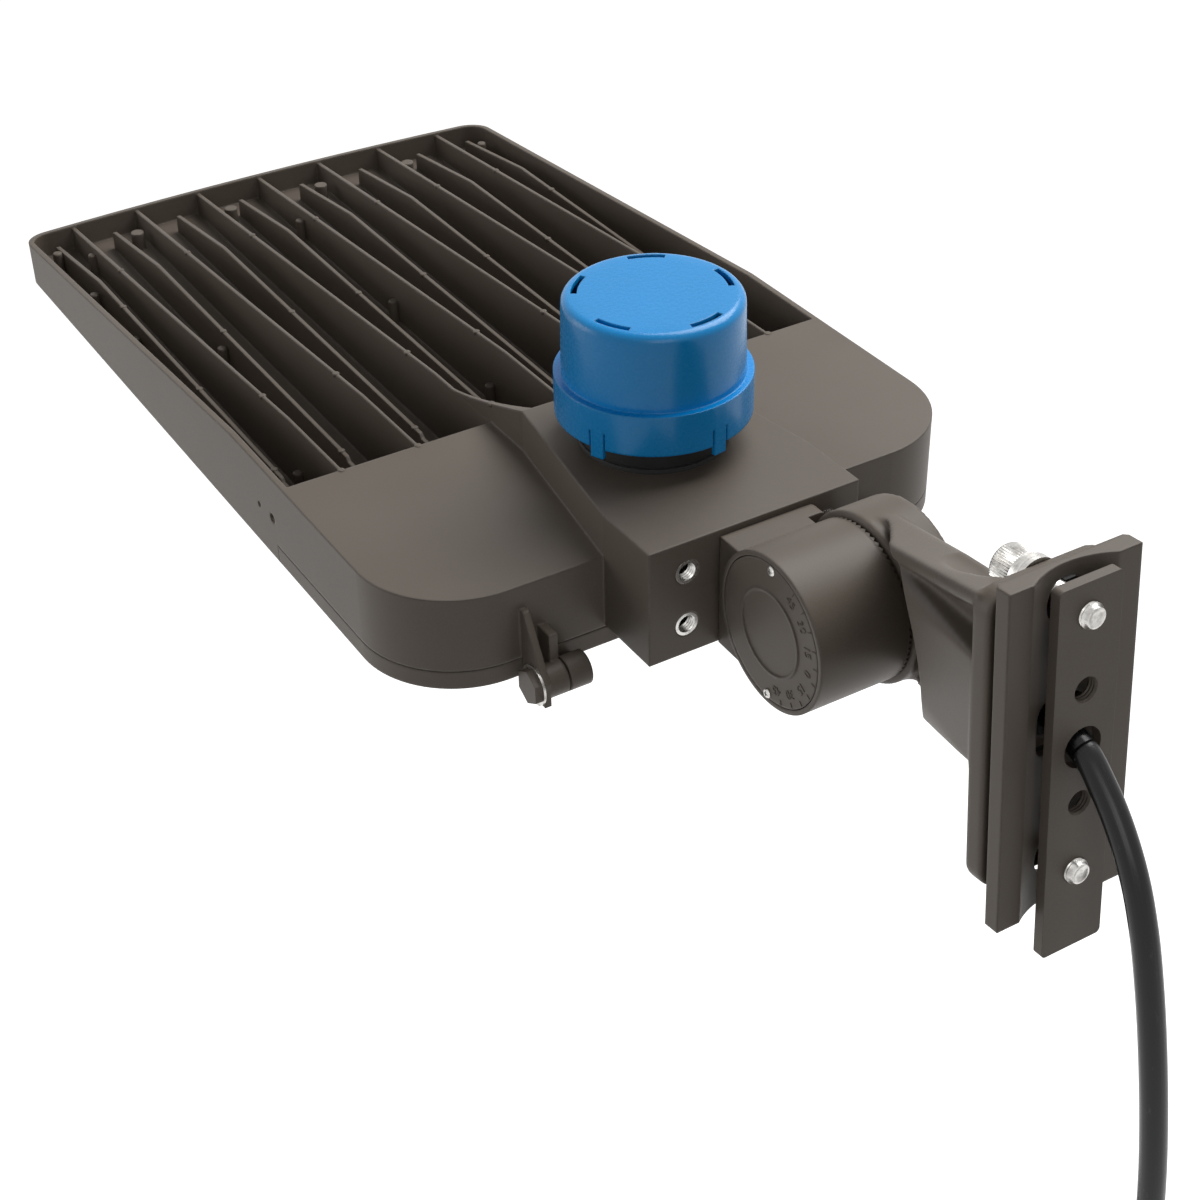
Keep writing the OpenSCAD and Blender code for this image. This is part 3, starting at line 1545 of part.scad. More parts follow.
head_casting();
thread_inserts();
led_boards();
led_packages();
lens_gaskets();
lens_panels();
lens_screws();
led_driver();
driver_screws();
surge_protector();
terminal_block();
ground_screw();
driver_door();
door_gasket();
door_screws();
hinge_pins();
hinge_washers();
receptacle_gasket();
receptacle();
receptacle_screws();
photocontrol_base();
photocontrol_blades();
photocontrol_board();
photocontrol_cap();
foot_gasket();
knuckle_base();
foot_screws();
dial_cap();
dial_screws();
pivot_bolt();
pivot_washer();
head_leads();
arm();
joint_seal();
pivot_spring_washer();
pivot_nut();
arm_leads();
plate_gasket();
pole_adaptor();
cord_bushing();
flat_washers();
spring_washers();
upper_pole_bolt();
lower_pole_bolt();
backing_bar();
inner_cord();
supply_cord();
cord_coil();
coil_tie();
cord_conductors();
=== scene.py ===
"""Looks of the shoebox area light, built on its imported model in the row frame.

The row frame has +Z up, the pole towards +Y and the head towards -Y, with the
origin on the pole face of the adaptor. Lengths are in metres, and names that
end in _mm are in millimetres. The head is described in its own level frame,
which head_place turns into the row frame.
"""

import json
import logging
import math
from dataclasses import dataclass, field
from enum import Enum
from typing import Callable, Optional, Sequence

import bmesh
import bpy
from mathutils import Matrix, Vector


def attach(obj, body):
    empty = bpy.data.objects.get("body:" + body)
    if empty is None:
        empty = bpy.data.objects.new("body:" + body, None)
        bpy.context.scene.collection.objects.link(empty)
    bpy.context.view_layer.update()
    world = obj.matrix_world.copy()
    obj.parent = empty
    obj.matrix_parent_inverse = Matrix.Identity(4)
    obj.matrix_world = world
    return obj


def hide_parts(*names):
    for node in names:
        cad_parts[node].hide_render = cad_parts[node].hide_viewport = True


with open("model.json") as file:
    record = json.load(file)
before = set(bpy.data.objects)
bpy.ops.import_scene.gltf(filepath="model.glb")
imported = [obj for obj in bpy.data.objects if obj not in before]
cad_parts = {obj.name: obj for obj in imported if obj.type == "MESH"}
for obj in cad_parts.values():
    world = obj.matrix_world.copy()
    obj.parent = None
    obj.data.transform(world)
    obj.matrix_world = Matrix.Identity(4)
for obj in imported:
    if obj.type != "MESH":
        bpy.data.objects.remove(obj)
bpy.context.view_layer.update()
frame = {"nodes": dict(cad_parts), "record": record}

LOG = logging.getLogger("area_light")
Point = tuple[float, float, float]
Colour = tuple[float, float, float]
Profile = Sequence[tuple[float, float]]
Socket = bpy.types.NodeSocket
Piece = bpy.types.Object

MM = 0.001
WHITE = (1.0, 1.0, 1.0, 1.0)
PIVOT_MM: Point = (0.0, -145.0, -23.5)
PIVOT_IN_HEAD_MM: Point = (0.0, 194.5, -3.0)
HEAD_LEAN_DEG = -5.0
SMOOTH_DEG = 32.0
WELD_MM = 0.004
ROUND_SEGMENTS = 2


class Body(Enum):
    """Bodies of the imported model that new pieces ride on."""

    MOUNT = "mount"
    HEAD = "head"
    PHOTOCONTROL = "photocontrol"
    UPPER_BOLT = "upper_bolt"
    LOWER_BOLT = "lower_bolt"
    BAR = "bar"


class Slot(Enum):
    """Material slots of the record."""

    CASTING = "bronze_casting"
    COATED_STEEL = "bronze_steel"
    ZINC = "bright_steel"
    BLUE = "blue_cap"
    BLACK = "black_plastic"
    RUBBER = "black_rubber"
    JACKET = "cord_jacket"
    BOARD = "board"
    LED = "led"
    LENS = "lens"
    CAN = "driver_can"
    GREEN_BOARD = "green_board"
    POTTING = "potting"
    IVORY = "ivory"
    GREEN_SCREW = "green_screw"
    BRASS = "brass"
    GREY = "grey_plastic"


def stand(name: str, data: bpy.types.ID) -> Piece:
    """Put a mesh, a lamp or a camera into the scene, at the origin.

    Args:
        name: Name of the object.
        data: What it shows.

    Returns:
        The new object.
    """
    thing = bpy.data.objects.new(name, data)
    bpy.context.scene.collection.objects.link(thing)
    return thing


# Material nodes


class Sheet:
    """One material's node tree, with short calls for the nodes that finishes share."""

    edge_samples = 6

    def __init__(self, name: str) -> None:
        """Start an empty material with its shader and its Object coordinates.

        Args:
            name: Name of the material.
        """
        self.material = bpy.data.materials.new(name)
        self.material.use_nodes = True
        self.tree = self.material.node_tree
        self.tree.nodes.clear()
        self.shader = self.node("BsdfPrincipled")
        out = self.node("OutputMaterial")
        self.tree.links.new(self.shader.outputs["BSDF"], out.inputs["Surface"])
        self.place = self.node("TexCoord").outputs["Object"]

    def node(self, kind: str) -> bpy.types.Node:
        """Add a shader node of a kind."""
        return self.tree.nodes.new("ShaderNode" + kind)

    def value(self, socket: str, amount: float) -> None:
        """Set a number of the shader."""
        self.shader.inputs[socket].default_value = amount

    def link(self, source: Socket, socket: str) -> None:
        """Feed a socket of the shader."""
        self.tree.links.new(source, self.shader.inputs[socket])

    def stretched(self, scale: Point, source: Socket) -> Socket:
        """Scale the coordinates a pattern reads.

        Args:
            scale: Factor along each axis.
            source: Coordinates to scale.

        Returns:
            The scaled coordinates.
        """
        node = self.node("Mapping")
        node.inputs["Scale"].default_value = scale
        self.tree.links.new(source, node.inputs["Vector"])
        return node.outputs["Vector"]

    def noise(
        self, per_metre: float, detail: float = 2.0, rough: float = 0.5, vector: Optional[Socket] = None
    ) -> Socket:
        """Add a noise pattern.

        Args:
            per_metre: Number of features a metre.
            detail: Octaves of the noise.
            rough: Weight of the finer octaves.
            vector: Coordinates, Object coordinates if none are given.

        Returns:
            The pattern, about 0.5 on average.
        """
        node = self.node("TexNoise")
        node.inputs["Scale"].default_value = per_metre
        node.inputs["Detail"].default_value = detail
        node.inputs["Roughness"].default_value = rough
        self.tree.links.new(vector or self.place, node.inputs["Vector"])
        return node.outputs["Fac"]

    def spread(self, source: Socket, low: float, high: float, to_low: float, to_high: float) -> Socket:
        """Map a range of a pattern onto another range, clamped.

        Args:
            source: The pattern.
            low: Value that becomes to_low.
            high: Value that becomes to_high.
            to_low: Lowest result.
            to_high: Highest result.

        Returns:
            The mapped pattern.
        """
        node = self.node("MapRange")
        node.inputs["From Min"].default_value = low
        node.inputs["From Max"].default_value = high
        node.inputs["To Min"].default_value = to_low
        node.inputs["To Max"].default_value = to_high
        self.tree.links.new(source, node.inputs["Value"])
        return node.outputs["Result"]

    def blend(self, share: Socket, first: object, second: object) -> Socket:
        """Mix two colours.

        Args:
            share: How much of the second colour shows.
            first: A colour or a colour socket.
            second: A colour or a colour socket.

        Returns:
            The mixed colour.
        """
        node = self.node("Mix")
        node.data_type = "RGBA"
        self.tree.links.new(share, node.inputs["Factor"])
        for name, colour in (("A", first), ("B", second)):
            socket = [s for s in node.inputs if s.name == name and s.type == "RGBA"][0]
            if isinstance(colour, Socket):
                self.tree.links.new(colour, socket)
            else:
                socket.default_value = (*colour, 1.0)
        return [s for s in node.outputs if s.type == "RGBA"][0]

    def maths(self, operation: str, first: object, second: object) -> Socket:
        """Combine two numbers.

        Args:
            operation: Name of Blender's operation.
            first: A number or a socket.
            second: A number or a socket.

        Returns:
            The result.
        """
        node = self.node("Math")
        node.operation = operation
        for i, part in enumerate((first, second)):
            if isinstance(part, Socket):
                self.tree.links.new(part, node.inputs[i])
            else:
                node.inputs[i].default_value = part
        return node.outputs["Value"]

    def soft_edge(self, radius_mm: float) -> Socket:
        """Add normals that round every edge, as a casting's or a coating's are.

        Args:
            radius_mm: Radius of the rounding.

        Returns:
            The rounded normal.
        """
        node = self.node("Bevel")
        node.samples = self.edge_samples
        node.inputs["Radius"].default_value = radius_mm * MM
        return node.outputs["Normal"]

    def edges(self, rounded: Socket) -> Socket:
        """Find where the surface turns, from the rounded normals.

        Args:
            rounded: Normal from soft_edge.

        Returns:
            0 on flat faces, up to 1 at an edge.
        """
        plain = self.node("NewGeometry").outputs["Normal"]
        dot = self.node("VectorMath")
        dot.operation = "DOT_PRODUCT"
        self.tree.links.new(rounded, dot.inputs[0])
        self.tree.links.new(plain, dot.inputs[1])
        return self.spread(dot.outputs["Value"], 0.99, 0.75, 0.0, 1.0)

    def relief(self, height: Socket, depth_mm: float, normal: Optional[Socket] = None) -> None:
        """Turn a pattern into a bump on the shader.

        Args:
            height: The pattern.
            depth_mm: Height of the relief.
            normal: Normal underneath, the surface's own if none is given.
        """
        node = self.node("Bump")
        node.inputs["Strength"].default_value = 1.0
        node.inputs["Distance"].default_value = depth_mm * MM
        self.tree.links.new(height, node.inputs["Height"])
        if normal is not None:
            self.tree.links.new(normal, node.inputs["Normal"])
        self.link(node.outputs["Normal"], "Normal")


@dataclass(frozen=True)
class PowderCoat:
    """Fine-textured bronze powder coat on a casting or on steel."""

    name: str
    edge_mm: float
    base: Colour = (0.106, 0.086, 0.068)
    light: Colour = (0.128, 0.107, 0.088)
    worn: Colour = (0.19, 0.162, 0.14)
    texture_mm: float = 0.035
    roughness: float = 0.47
    shine: float = 0.26
    mottle_per_metre: float = 9.0
    grain_per_metre: float = 1700.0
    peel_per_metre: float = 620.0
    wear_per_metre: float = 160.0

    def material(self) -> bpy.types.Material:
        """Build the material: mottled colour, orange peel, rubbed edges."""
        s = Sheet(self.name)
        mottle = s.noise(self.mottle_per_metre, 3.0)
        grain = s.noise(self.grain_per_metre, 2.0, 0.6)
        peel = s.noise(self.peel_per_metre)
        tone = s.maths("ADD", s.maths("MULTIPLY", mottle, 0.6), s.maths("MULTIPLY", grain, 0.4))
        coat = s.blend(s.spread(tone, 0.38, 0.62, 0.0, 1.0), self.base, self.light)
        rounded = s.soft_edge(self.edge_mm)
        wear = s.spread(s.noise(self.wear_per_metre, 4.0, 0.7), 0.5, 0.72, 0.10, 0.85)
        rubbed = s.maths("MULTIPLY", s.edges(rounded), wear)
        s.link(s.blend(rubbed, coat, self.worn), "Base Color")
        s.link(s.spread(grain, 0.3, 0.7, self.roughness - 0.05, self.roughness + 0.07), "Roughness")
        s.value("Specular IOR Level", self.shine)
        height = s.maths("ADD", s.maths("MULTIPLY", grain, 0.55), s.maths("MULTIPLY", peel, 0.45))
        s.relief(height, self.texture_mm, rounded)
        return s.material


@dataclass(frozen=True)
class ZincPlate:
    """Bright zinc or nickel plate with faint turning marks and dull patches."""

    name: str
    base: Colour = (0.60, 0.585, 0.56)
    dull: Colour = (0.34, 0.33, 0.31)
    roughness: float = 0.24
    edge_mm: float = 0.08
    patch_per_metre: float = 320.0
    marks_per_metre: float = 2600.0
    marks_mm: float = 0.006

    def material(self) -> bpy.types.Material:
        """Build the metal."""
        s = Sheet(self.name)
        patch = s.noise(self.patch_per_metre, 3.0, 0.6)
        marks = s.noise(self.marks_per_metre)
        s.link(s.blend(s.spread(patch, 0.42, 0.68, 0.0, 1.0), self.base, self.dull), "Base Color")
        s.value("Metallic", 1.0)
        s.link(s.spread(patch, 0.35, 0.7, self.roughness, self.roughness + 0.16), "Roughness")
        s.relief(marks, self.marks_mm, s.soft_edge(self.edge_mm))
        return s.material


@dataclass(frozen=True)
class Moulding:
    """Moulded plastic or rubber, from glossy to dull, with its own mould texture."""

    name: str
    base: Colour
    shade: Colour
    roughness: float
    grain_per_metre: float = 1500.0
    grain_mm: float = 0.01
    coat: float = 0.0
    coat_roughness: float = 0.06
    edge_mm: float = 0.4
    shine: float = 0.42
    cloud_per_metre: float = 28.0

    def material(self) -> bpy.types.Material:
        """Build the plastic."""
        s = Sheet(self.name)
        cloud = s.noise(self.cloud_per_metre, 3.0)
        grain = s.noise(self.grain_per_metre, 2.0, 0.6)
        s.link(s.blend(s.spread(cloud, 0.35, 0.68, 0.0, 1.0), self.base, self.shade), "Base Color")
        s.link(s.spread(grain, 0.3, 0.7, self.roughness * 0.88, self.roughness * 1.15), "Roughness")
        s.value("Specular IOR Level", self.shine)
        s.value("Coat Weight", self.coat)
        s.value("Coat Roughness", self.coat_roughness)
        s.relief(grain, self.grain_mm, s.soft_edge(self.edge_mm))
        return s.material


@dataclass(frozen=True)
class Jacket:
    """Extruded cord jacket: drawn lines along it and dull scuffs, on the piece's own UV map."""

    name: str
    base: Colour = (0.0040, 0.0040, 0.0045)
    scuff: Colour = (0.045, 0.044, 0.043)
    line_scale: Point = (26.0, 9.0, 1.0)
    patch_scale: Point = (7.0, 70.0, 1.0)
    relief_mm: float = 0.09
    shine: float = 0.32

    def material(self) -> bpy.types.Material:
        """Build the jacket from lines along v and scuffs."""
        s = Sheet(self.name)
        uv = s.node("UVMap").outputs["UV"]
        lines = s.noise(1.0, 3.0, 0.6, s.stretched(self.line_scale, uv))
        patches = s.noise(1.0, 4.0, 0.65, s.stretched(self.patch_scale, uv))
        scuffs = s.spread(patches, 0.62, 0.74, 0.0, 0.8)
        s.link(s.blend(scuffs, self.base, self.scuff), "Base Color")
        dulled = s.maths("ADD", s.maths("MULTIPLY", scuffs, 0.5), lines)
        s.link(s.spread(dulled, 0.3, 1.0, 0.22, 0.5), "Roughness")
        s.value("Specular IOR Level", self.shine)
        s.relief(s.maths("ADD", lines, s.maths("MULTIPLY", patches, 0.3)), self.relief_mm)
        return s.material


@dataclass(frozen=True)
class ClearLens:
    """Clear moulded lens plastic with a faint haze."""

    name: str
    base: Colour = (0.93, 0.95, 0.96)
    bright: Colour = (0.98, 0.99, 1.0)
    clear: float = 0.92
    ior: float = 1.49
    haze_per_metre: float = 60.0

    def material(self) -> bpy.types.Material:
        """Build the clear plastic."""
        s = Sheet(self.name)
        haze = s.noise(self.haze_per_metre, 3.0)
        s.link(s.blend(haze, self.base, self.bright), "Base Color")
        s.link(s.spread(haze, 0.3, 0.7, 0.03, 0.10), "Roughness")
        s.value("Transmission Weight", self.clear)
        s.value("IOR", self.ior)
        return s.material


def finishes() -> dict[Slot, object]:
    """List the finish of each material slot.

    Returns:
        One finish a slot.
    """
    return {
        Slot.CASTING: PowderCoat("bronze_powder_coat_cast", edge_mm=1.6),
        Slot.COATED_STEEL: PowderCoat("bronze_powder_coat_steel", edge_mm=0.3, base=(0.098, 0.080, 0.063)),
        Slot.ZINC: ZincPlate("bright_zinc"),
        Slot.BLUE: Moulding(
            "blue_moulding", (0.0, 0.265, 0.66), (0.0, 0.255, 0.63), 0.27,
            grain_per_metre=500.0, grain_mm=0.0, coat=0.06, edge_mm=1.1, shine=0.32,
        ),
        Slot.BLACK: Moulding(
            "black_moulding", (0.012, 0.012, 0.013), (0.018, 0.018, 0.018), 0.42,
            grain_per_metre=1300.0, grain_mm=0.012,
        ),
        Slot.RUBBER: Moulding(
            "black_rubber", (0.016, 0.016, 0.016), (0.026, 0.025, 0.024), 0.72,
            grain_per_metre=900.0, grain_mm=0.03,
        ),
        Slot.JACKET: Moulding("lead_jacket", (0.010, 0.010, 0.010), (0.016, 0.016, 0.016), 0.4),
        Slot.BOARD: Moulding("white_solder_mask", (0.80, 0.80, 0.77), (0.72, 0.73, 0.70), 0.35),
        Slot.LED: Moulding("yellow_phosphor", (0.78, 0.62, 0.12), (0.70, 0.54, 0.09), 0.45),
        Slot.LENS: ClearLens("clear_lens"),
        Slot.CAN: ZincPlate("satin_can", (0.72, 0.72, 0.71), (0.62, 0.62, 0.61), 0.36, edge_mm=0.6),
        Slot.GREEN_BOARD: Moulding("green_board", (0.012, 0.13, 0.05), (0.02, 0.17, 0.07), 0.3),
        Slot.POTTING: Moulding("grey_potting", (0.055, 0.055, 0.06), (0.07, 0.07, 0.075), 0.5),
        Slot.IVORY: Moulding("ivory_moulding", (0.68, 0.63, 0.50), (0.62, 0.57, 0.45), 0.4),
        Slot.GREEN_SCREW: ZincPlate("green_plated_steel", (0.03, 0.30, 0.09), (0.02, 0.22, 0.07), 0.3),
        Slot.BRASS: ZincPlate("tinned_brass", (0.78, 0.66, 0.42), (0.66, 0.54, 0.32), 0.3),
        Slot.GREY: Moulding("grey_tie", (0.16, 0.16, 0.165), (0.20, 0.20, 0.205), 0.5),
    }


@dataclass
class Wardrobe:
    """Materials made once and shared by the pieces."""

    made: dict[Slot, bpy.types.Material] = field(default_factory=dict)
    book: dict[Slot, object] = field(default_factory=finishes)

    def of(self, slot: Slot) -> bpy.types.Material:
        """Give a slot's material."""
        if slot not in self.made:
            self.made[slot] = self.book[slot].material()
        return self.made[slot]

    def dress_cad(self) -> None:
        """Put the finishes on the slots of all CAD nodes, their meshes untouched."""
        slots = {s["node"]: Slot(s["material_slot"]) for s in frame["record"]["subparts"]}
        for name, node in frame["nodes"].items():
            material = self.of(slots[name])
            if not node.data.materials:
                node.data.materials.append(material)
            for i in range(len(node.data.materials)):
                node.data.materials[i] = material
            LOG.info("dressed %s as %s", name, slots[name].value)

    def dress(self, piece: Piece, slot: Slot, body: Body) -> None:
        """Finish a new piece and let it ride.

        Args:
            piece: The piece, in place.
            slot: The slot whose finish it takes.
            body: The body it rides on.
        """
        piece.data.materials.clear()
        piece.data.materials.append(self.of(slot))
        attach(piece, body.value)


# Studio and camera


@dataclass(frozen=True)
class Lamp:
    """One soft square lamp."""

    name: str
    place: Point
    aim: Point
    size_m: float
    watts: float

    def hang(self) -> None:
        """Add the lamp to the scene, turned towards its aim."""
        data = bpy.data.lights.new(self.name, "AREA")
        data.shape = "SQUARE"
        data.size = self.size_m
        data.energy = self.watts
        lamp = stand(self.name, data)
        lamp.location = self.place
        lamp.rotation_euler = (Vector(self.aim) - Vector(self.place)).to_track_quat("-Z", "Y").to_euler()


@dataclass(frozen=True)
class Studio:
    """Plain pale floor, even soft lamps and a white surround."""

    floor_drop_m: float = 1.3
    floor_size_m: float = 14.0
    floor_grey: float = 0.82
    floor_lift: float = 0.97
    surround: float = 0.10
    lamps: Sequence[Lamp] = (
        Lamp("top_lamp", (-0.95, -0.4, 1.45), (0.0, -0.25, 0.0), 1.3, 36.0),
        Lamp("left_lamp", (1.5, -1.25, 0.3), (0.0, -0.25, -0.03), 1.1, 8.5),
        Lamp("right_lamp", (0.7, 1.5, 0.7), (0.0, -0.15, 0.0), 1.0, 5.95),
    )

    def build(self) -> None:
        """Build the world, the floor and the lamps."""
        self._world()
        self._floor()
        for lamp in self.lamps:
            lamp.hang()
        LOG.info("studio built")

    def _seen(self, tree: bpy.types.NodeTree) -> Socket:
        """Make a mask of the rays that show the background.

        Args:
            tree: Node tree of the world or of the floor.

        Returns:
            1 for camera, glossy and transmission rays, 0 for the rest.
        """
        rays = tree.nodes.new("ShaderNodeLightPath")
        total = rays.outputs["Is Camera Ray"]
        for name in ("Is Glossy Ray", "Is Transmission Ray"):
            node = tree.nodes.new("ShaderNodeMath")
            node.operation = "MAXIMUM"
            tree.links.new(total, node.inputs[0])
            tree.links.new(rays.outputs[name], node.inputs[1])
            total = node.outputs["Value"]
        return total

    def _world(self) -> None:
        """Light the object evenly, and show plain white."""
        world = bpy.data.worlds.new("white_surround")
        bpy.context.scene.world = world
        world.use_nodes = True
        tree = world.node_tree
        tree.nodes.clear()
        mix = tree.nodes.new("ShaderNodeMixShader")
        out = tree.nodes.new("ShaderNodeOutputWorld")
        tree.links.new(self._seen(tree), mix.inputs["Fac"])
        for i, strength in ((1, self.surround), (2, 1.0)):
            white = tree.nodes.new("ShaderNodeBackground")
            white.inputs["Color"].default_value = WHITE
            white.inputs["Strength"].default_value = strength
            tree.links.new(white.outputs["Background"], mix.inputs[i])
        tree.links.new(mix.outputs["Shader"], out.inputs["Surface"])

    def _floor(self) -> None:
        """Lay a pale floor, lifted to white in the rays that show the background."""
        bpy.ops.object.select_all(action="DESELECT")
        bpy.ops.mesh.primitive_plane_add(size=self.floor_size_m, location=(0.0, 0.0, -self.floor_drop_m))
        floor = bpy.context.object
        floor.name = "studio_floor"
        material = bpy.data.materials.new("pale_floor")
        material.use_nodes = True
        tree = material.node_tree
        tree.nodes.clear()
        matt = tree.nodes.new("ShaderNodeBsdfDiffuse")
        matt.inputs["Color"].default_value = (self.floor_grey,) * 3 + (1.0,)
        glow = tree.nodes.new("ShaderNodeEmission")
        lift = tree.nodes.new("ShaderNodeMath")
        lift.operation = "MULTIPLY"
        lift.inputs[1].default_value = self.floor_lift
        tree.links.new(self._seen(tree), lift.inputs[0])
        tree.links.new(lift.outputs["Value"], glow.inputs["Strength"])
        add = tree.nodes.new("ShaderNodeAddShader")
        out = tree.nodes.new("ShaderNodeOutputMaterial")
        tree.links.new(matt.outputs["BSDF"], add.inputs[0])
        tree.links.new(glow.outputs["Emission"], add.inputs[1])
        tree.links.new(add.outputs["Shader"], out.inputs["Surface"])
        floor.data.materials.append(material)


@dataclass(frozen=True)
class PhotoCamera:
    """Camera at the photograph's place, found from the 84 mm width of the photocontrol."""

    place: Point = (0.4267, 0.4547, 0.4329)
    yaw_deg: float = 30.5
    pitch_deg: float = -35.5
    roll_deg: float = -1.3
    tilt_deg: float = -5.0
    lens_mm: float = 65.84
    sensor_mm: float = 36.0
    near_m: float = 0.02
    far_m: float = 60.0

    def build(self) -> None:
        """Make the camera and let the scene use it."""
        yaw, pitch, roll = (math.radians(a) for a in (self.yaw_deg, self.pitch_deg, self.roll_deg))
        flat = math.cos(pitch)
        ahead = Vector((-math.sin(yaw) * flat, -math.cos(yaw) * flat, math.sin(pitch)))
        right = ahead.cross(Vector((0.0, 0.0, 1.0))).normalized()
        up = right.cross(ahead)
        turned_right = right * math.cos(roll) + up * math.sin(roll)
        turned_up = -right * math.sin(roll) + up * math.cos(roll)
        tilt = Matrix.Rotation(math.radians(self.tilt_deg), 3, "X")
        axes = [tilt @ v for v in (turned_right, turned_up, -ahead)]
        data = bpy.data.cameras.new("photo_camera")
        data.sensor_width = self.sensor_mm
        data.lens = self.lens_mm
        data.clip_start = self.near_m
        data.clip_end = self.far_m
        camera = stand("photo_camera", data)
        camera.matrix_world = Matrix.Translation(Vector(self.place)) @ Matrix(axes).transposed().to_4x4()
        bpy.context.scene.camera = camera
        LOG.info("camera set")


# Hand work


def head_place() -> Matrix:
    """Give the turn and shift that take the head's level frame to the row frame.

    Returns:
        The matrix, for lengths in metres.
    """
    back = Matrix.Translation(-Vector(PIVOT_IN_HEAD_MM) * MM)
    return shifted(*PIVOT_MM) @ Matrix.Rotation(math.radians(HEAD_LEAN_DEG), 4, "X") @ back


def shifted(x: float, y: float, z: float) -> Matrix:
    """Give a shift in millimetres."""
    return Matrix.Translation(Vector((x, y, z)) * MM)


ALONG_X = Matrix.Rotation(math.radians(90.0), 4, "Y")
ALONG_Y = Matrix.Rotation(math.radians(-90.0), 4, "X")


@dataclass(frozen=True)
class Part:
    """A set of new pieces, with the steps that make them; lengths in millimetres."""

    wardrobe: Wardrobe

    def clear(self) -> None:
        """Let go of all that is selected."""
        bpy.ops.object.select_all(action="DESELECT")

    def named(self, name: str) -> Piece:
        """Name the piece that was just added."""
        piece = bpy.context.object
        piece.name = name
        piece.data.name = name
        return piece

    def take(self, piece: Piece) -> None:
        """Select one piece alone."""
        self.clear()
        piece.select_set(True)
        bpy.context.view_layer.objects.active = piece

    def turned(self, name: str, profile: Profile, steps: int) -> Piece:
        """Draw a profile point by point, spin it round the z axis and close it.

        Args:
            name: Name of the piece.
            profile: Radius and height of each point.
            steps: Parts of the full turn.

        Returns:
            The turned piece, at the origin.
        """
        self.clear()
        bpy.ops.mesh.primitive_plane_add(size=MM, location=(0.0, 0.0, 0.0))
        piece = self.named(name)
        bpy.ops.object.mode_set(mode="EDIT")
        bpy.ops.mesh.select_mode(type="VERT")
        bpy.ops.mesh.select_all(action="SELECT")
        bpy.ops.mesh.merge(type="CENTER")
        bpy.ops.transform.translate(value=(profile[0][0] * MM, 0.0, profile[0][1] * MM))
        for (r0, h0), (r1, h1) in zip(profile, profile[1:]):
            step = ((r1 - r0) * MM, 0.0, (h1 - h0) * MM)
            bpy.ops.mesh.extrude_vertices_move(TRANSFORM_OT_translate={"value": step})
        bpy.ops.mesh.select_all(action="SELECT")
        bpy.ops.mesh.spin(steps=steps, angle=2 * math.pi, center=(0.0, 0.0, 0.0), axis=(0.0, 0.0, 1.0))
        bpy.ops.mesh.select_all(action="SELECT")
        bpy.ops.mesh.remove_doubles(threshold=WELD_MM * MM)
        bpy.ops.mesh.normals_make_consistent(inside=False)
        bpy.ops.object.mode_set(mode="OBJECT")
        bpy.ops.object.shade_smooth_by_angle(angle=math.radians(SMOOTH_DEG))
        return piece

    def pick(self, piece: Piece, test: Callable[[Vector], bool]) -> None:
        """Select the vertices that a test names, and stay in edit mode.

        Args:
            piece: The piece.
            test: Says whether a place belongs to the selection.
        """
        self.take(piece)
        bpy.ops.object.mode_set(mode="EDIT")
        bpy.ops.mesh.select_mode(type="VERT")
        bpy.ops.mesh.select_all(action="DESELECT")
        bpy.ops.object.mode_set(mode="OBJECT")
        for vertex in piece.data.vertices:
            vertex.select = test(vertex.co)
        bpy.ops.object.mode_set(mode="EDIT")

    def block(self, name: str, size: Point, place: Matrix, round_mm: float = 0.0) -> Piece:
        """Add a block, its edges rounded if a radius is given.

        Args:
            name: Name of the block.
            size: Its length along each axis.
            place: Where its centre lies.
            round_mm: Radius of its edges.

        Returns:
            The block, with its place in its mesh.
        """
        self.clear()
        bpy.ops.mesh.primitive_cube_add(size=MM, location=(0.0, 0.0, 0.0))
        piece = self.named(name)
        piece.scale = size
        bpy.ops.object.transform_apply(location=True, rotation=True, scale=True)
        if round_mm:
            bevel = piece.modifiers.new("rounding", "BEVEL")
            bevel.width = round_mm * MM
            bevel.segments = ROUND_SEGMENTS
            bevel.limit_method = "ANGLE"
            bpy.ops.object.modifier_apply(modifier=bevel.name)
        return self.settle(piece, place)

    def cut(self, piece: Piece, tools: Sequence[Piece]) -> None:
        """Cut tools out of a piece, and drop the tools."""
        for tool in tools:
            cutter = piece.modifiers.new("cut", "BOOLEAN")
            cutter.operation = "DIFFERENCE"
            cutter.solver = "EXACT"
            cutter.object = tool
            self.take(piece)
            bpy.ops.object.modifier_apply(modifier=cutter.name)
            bpy.data.objects.remove(tool)
        bpy.ops.object.shade_smooth_by_angle(angle=math.radians(SMOOTH_DEG))

    def settle(self, piece: Piece, place: Matrix) -> Piece:
        """Move a piece to its place, and put the place in its mesh."""
        self.take(piece)
        piece.matrix_world = place
        bpy.ops.object.transform_apply(location=True, rotation=True, scale=True)
        return piece

    def copy_of(self, node: str, name: str, weld_mm: float) -> Piece:
        """Copy a CAD node as a piece with a mesh of its own, its faces joined and its normals free.

        Args:
            node: Name of the CAD node.
            name: Name of the copy.
            weld_mm: Distance within which its vertices are merged.

        Returns:
            The copy, selected.
        """
        copy = stand(name, frame["nodes"][node].data.copy())
        self.take(copy)
        bpy.ops.mesh.customdata_custom_splitnormals_clear()
        bpy.ops.object.mode_set(mode="EDIT")
        bpy.ops.mesh.select_all(action="SELECT")
        bpy.ops.mesh.remove_doubles(threshold=weld_mm * MM)
        bpy.ops.object.mode_set(mode="OBJECT")
        return copy

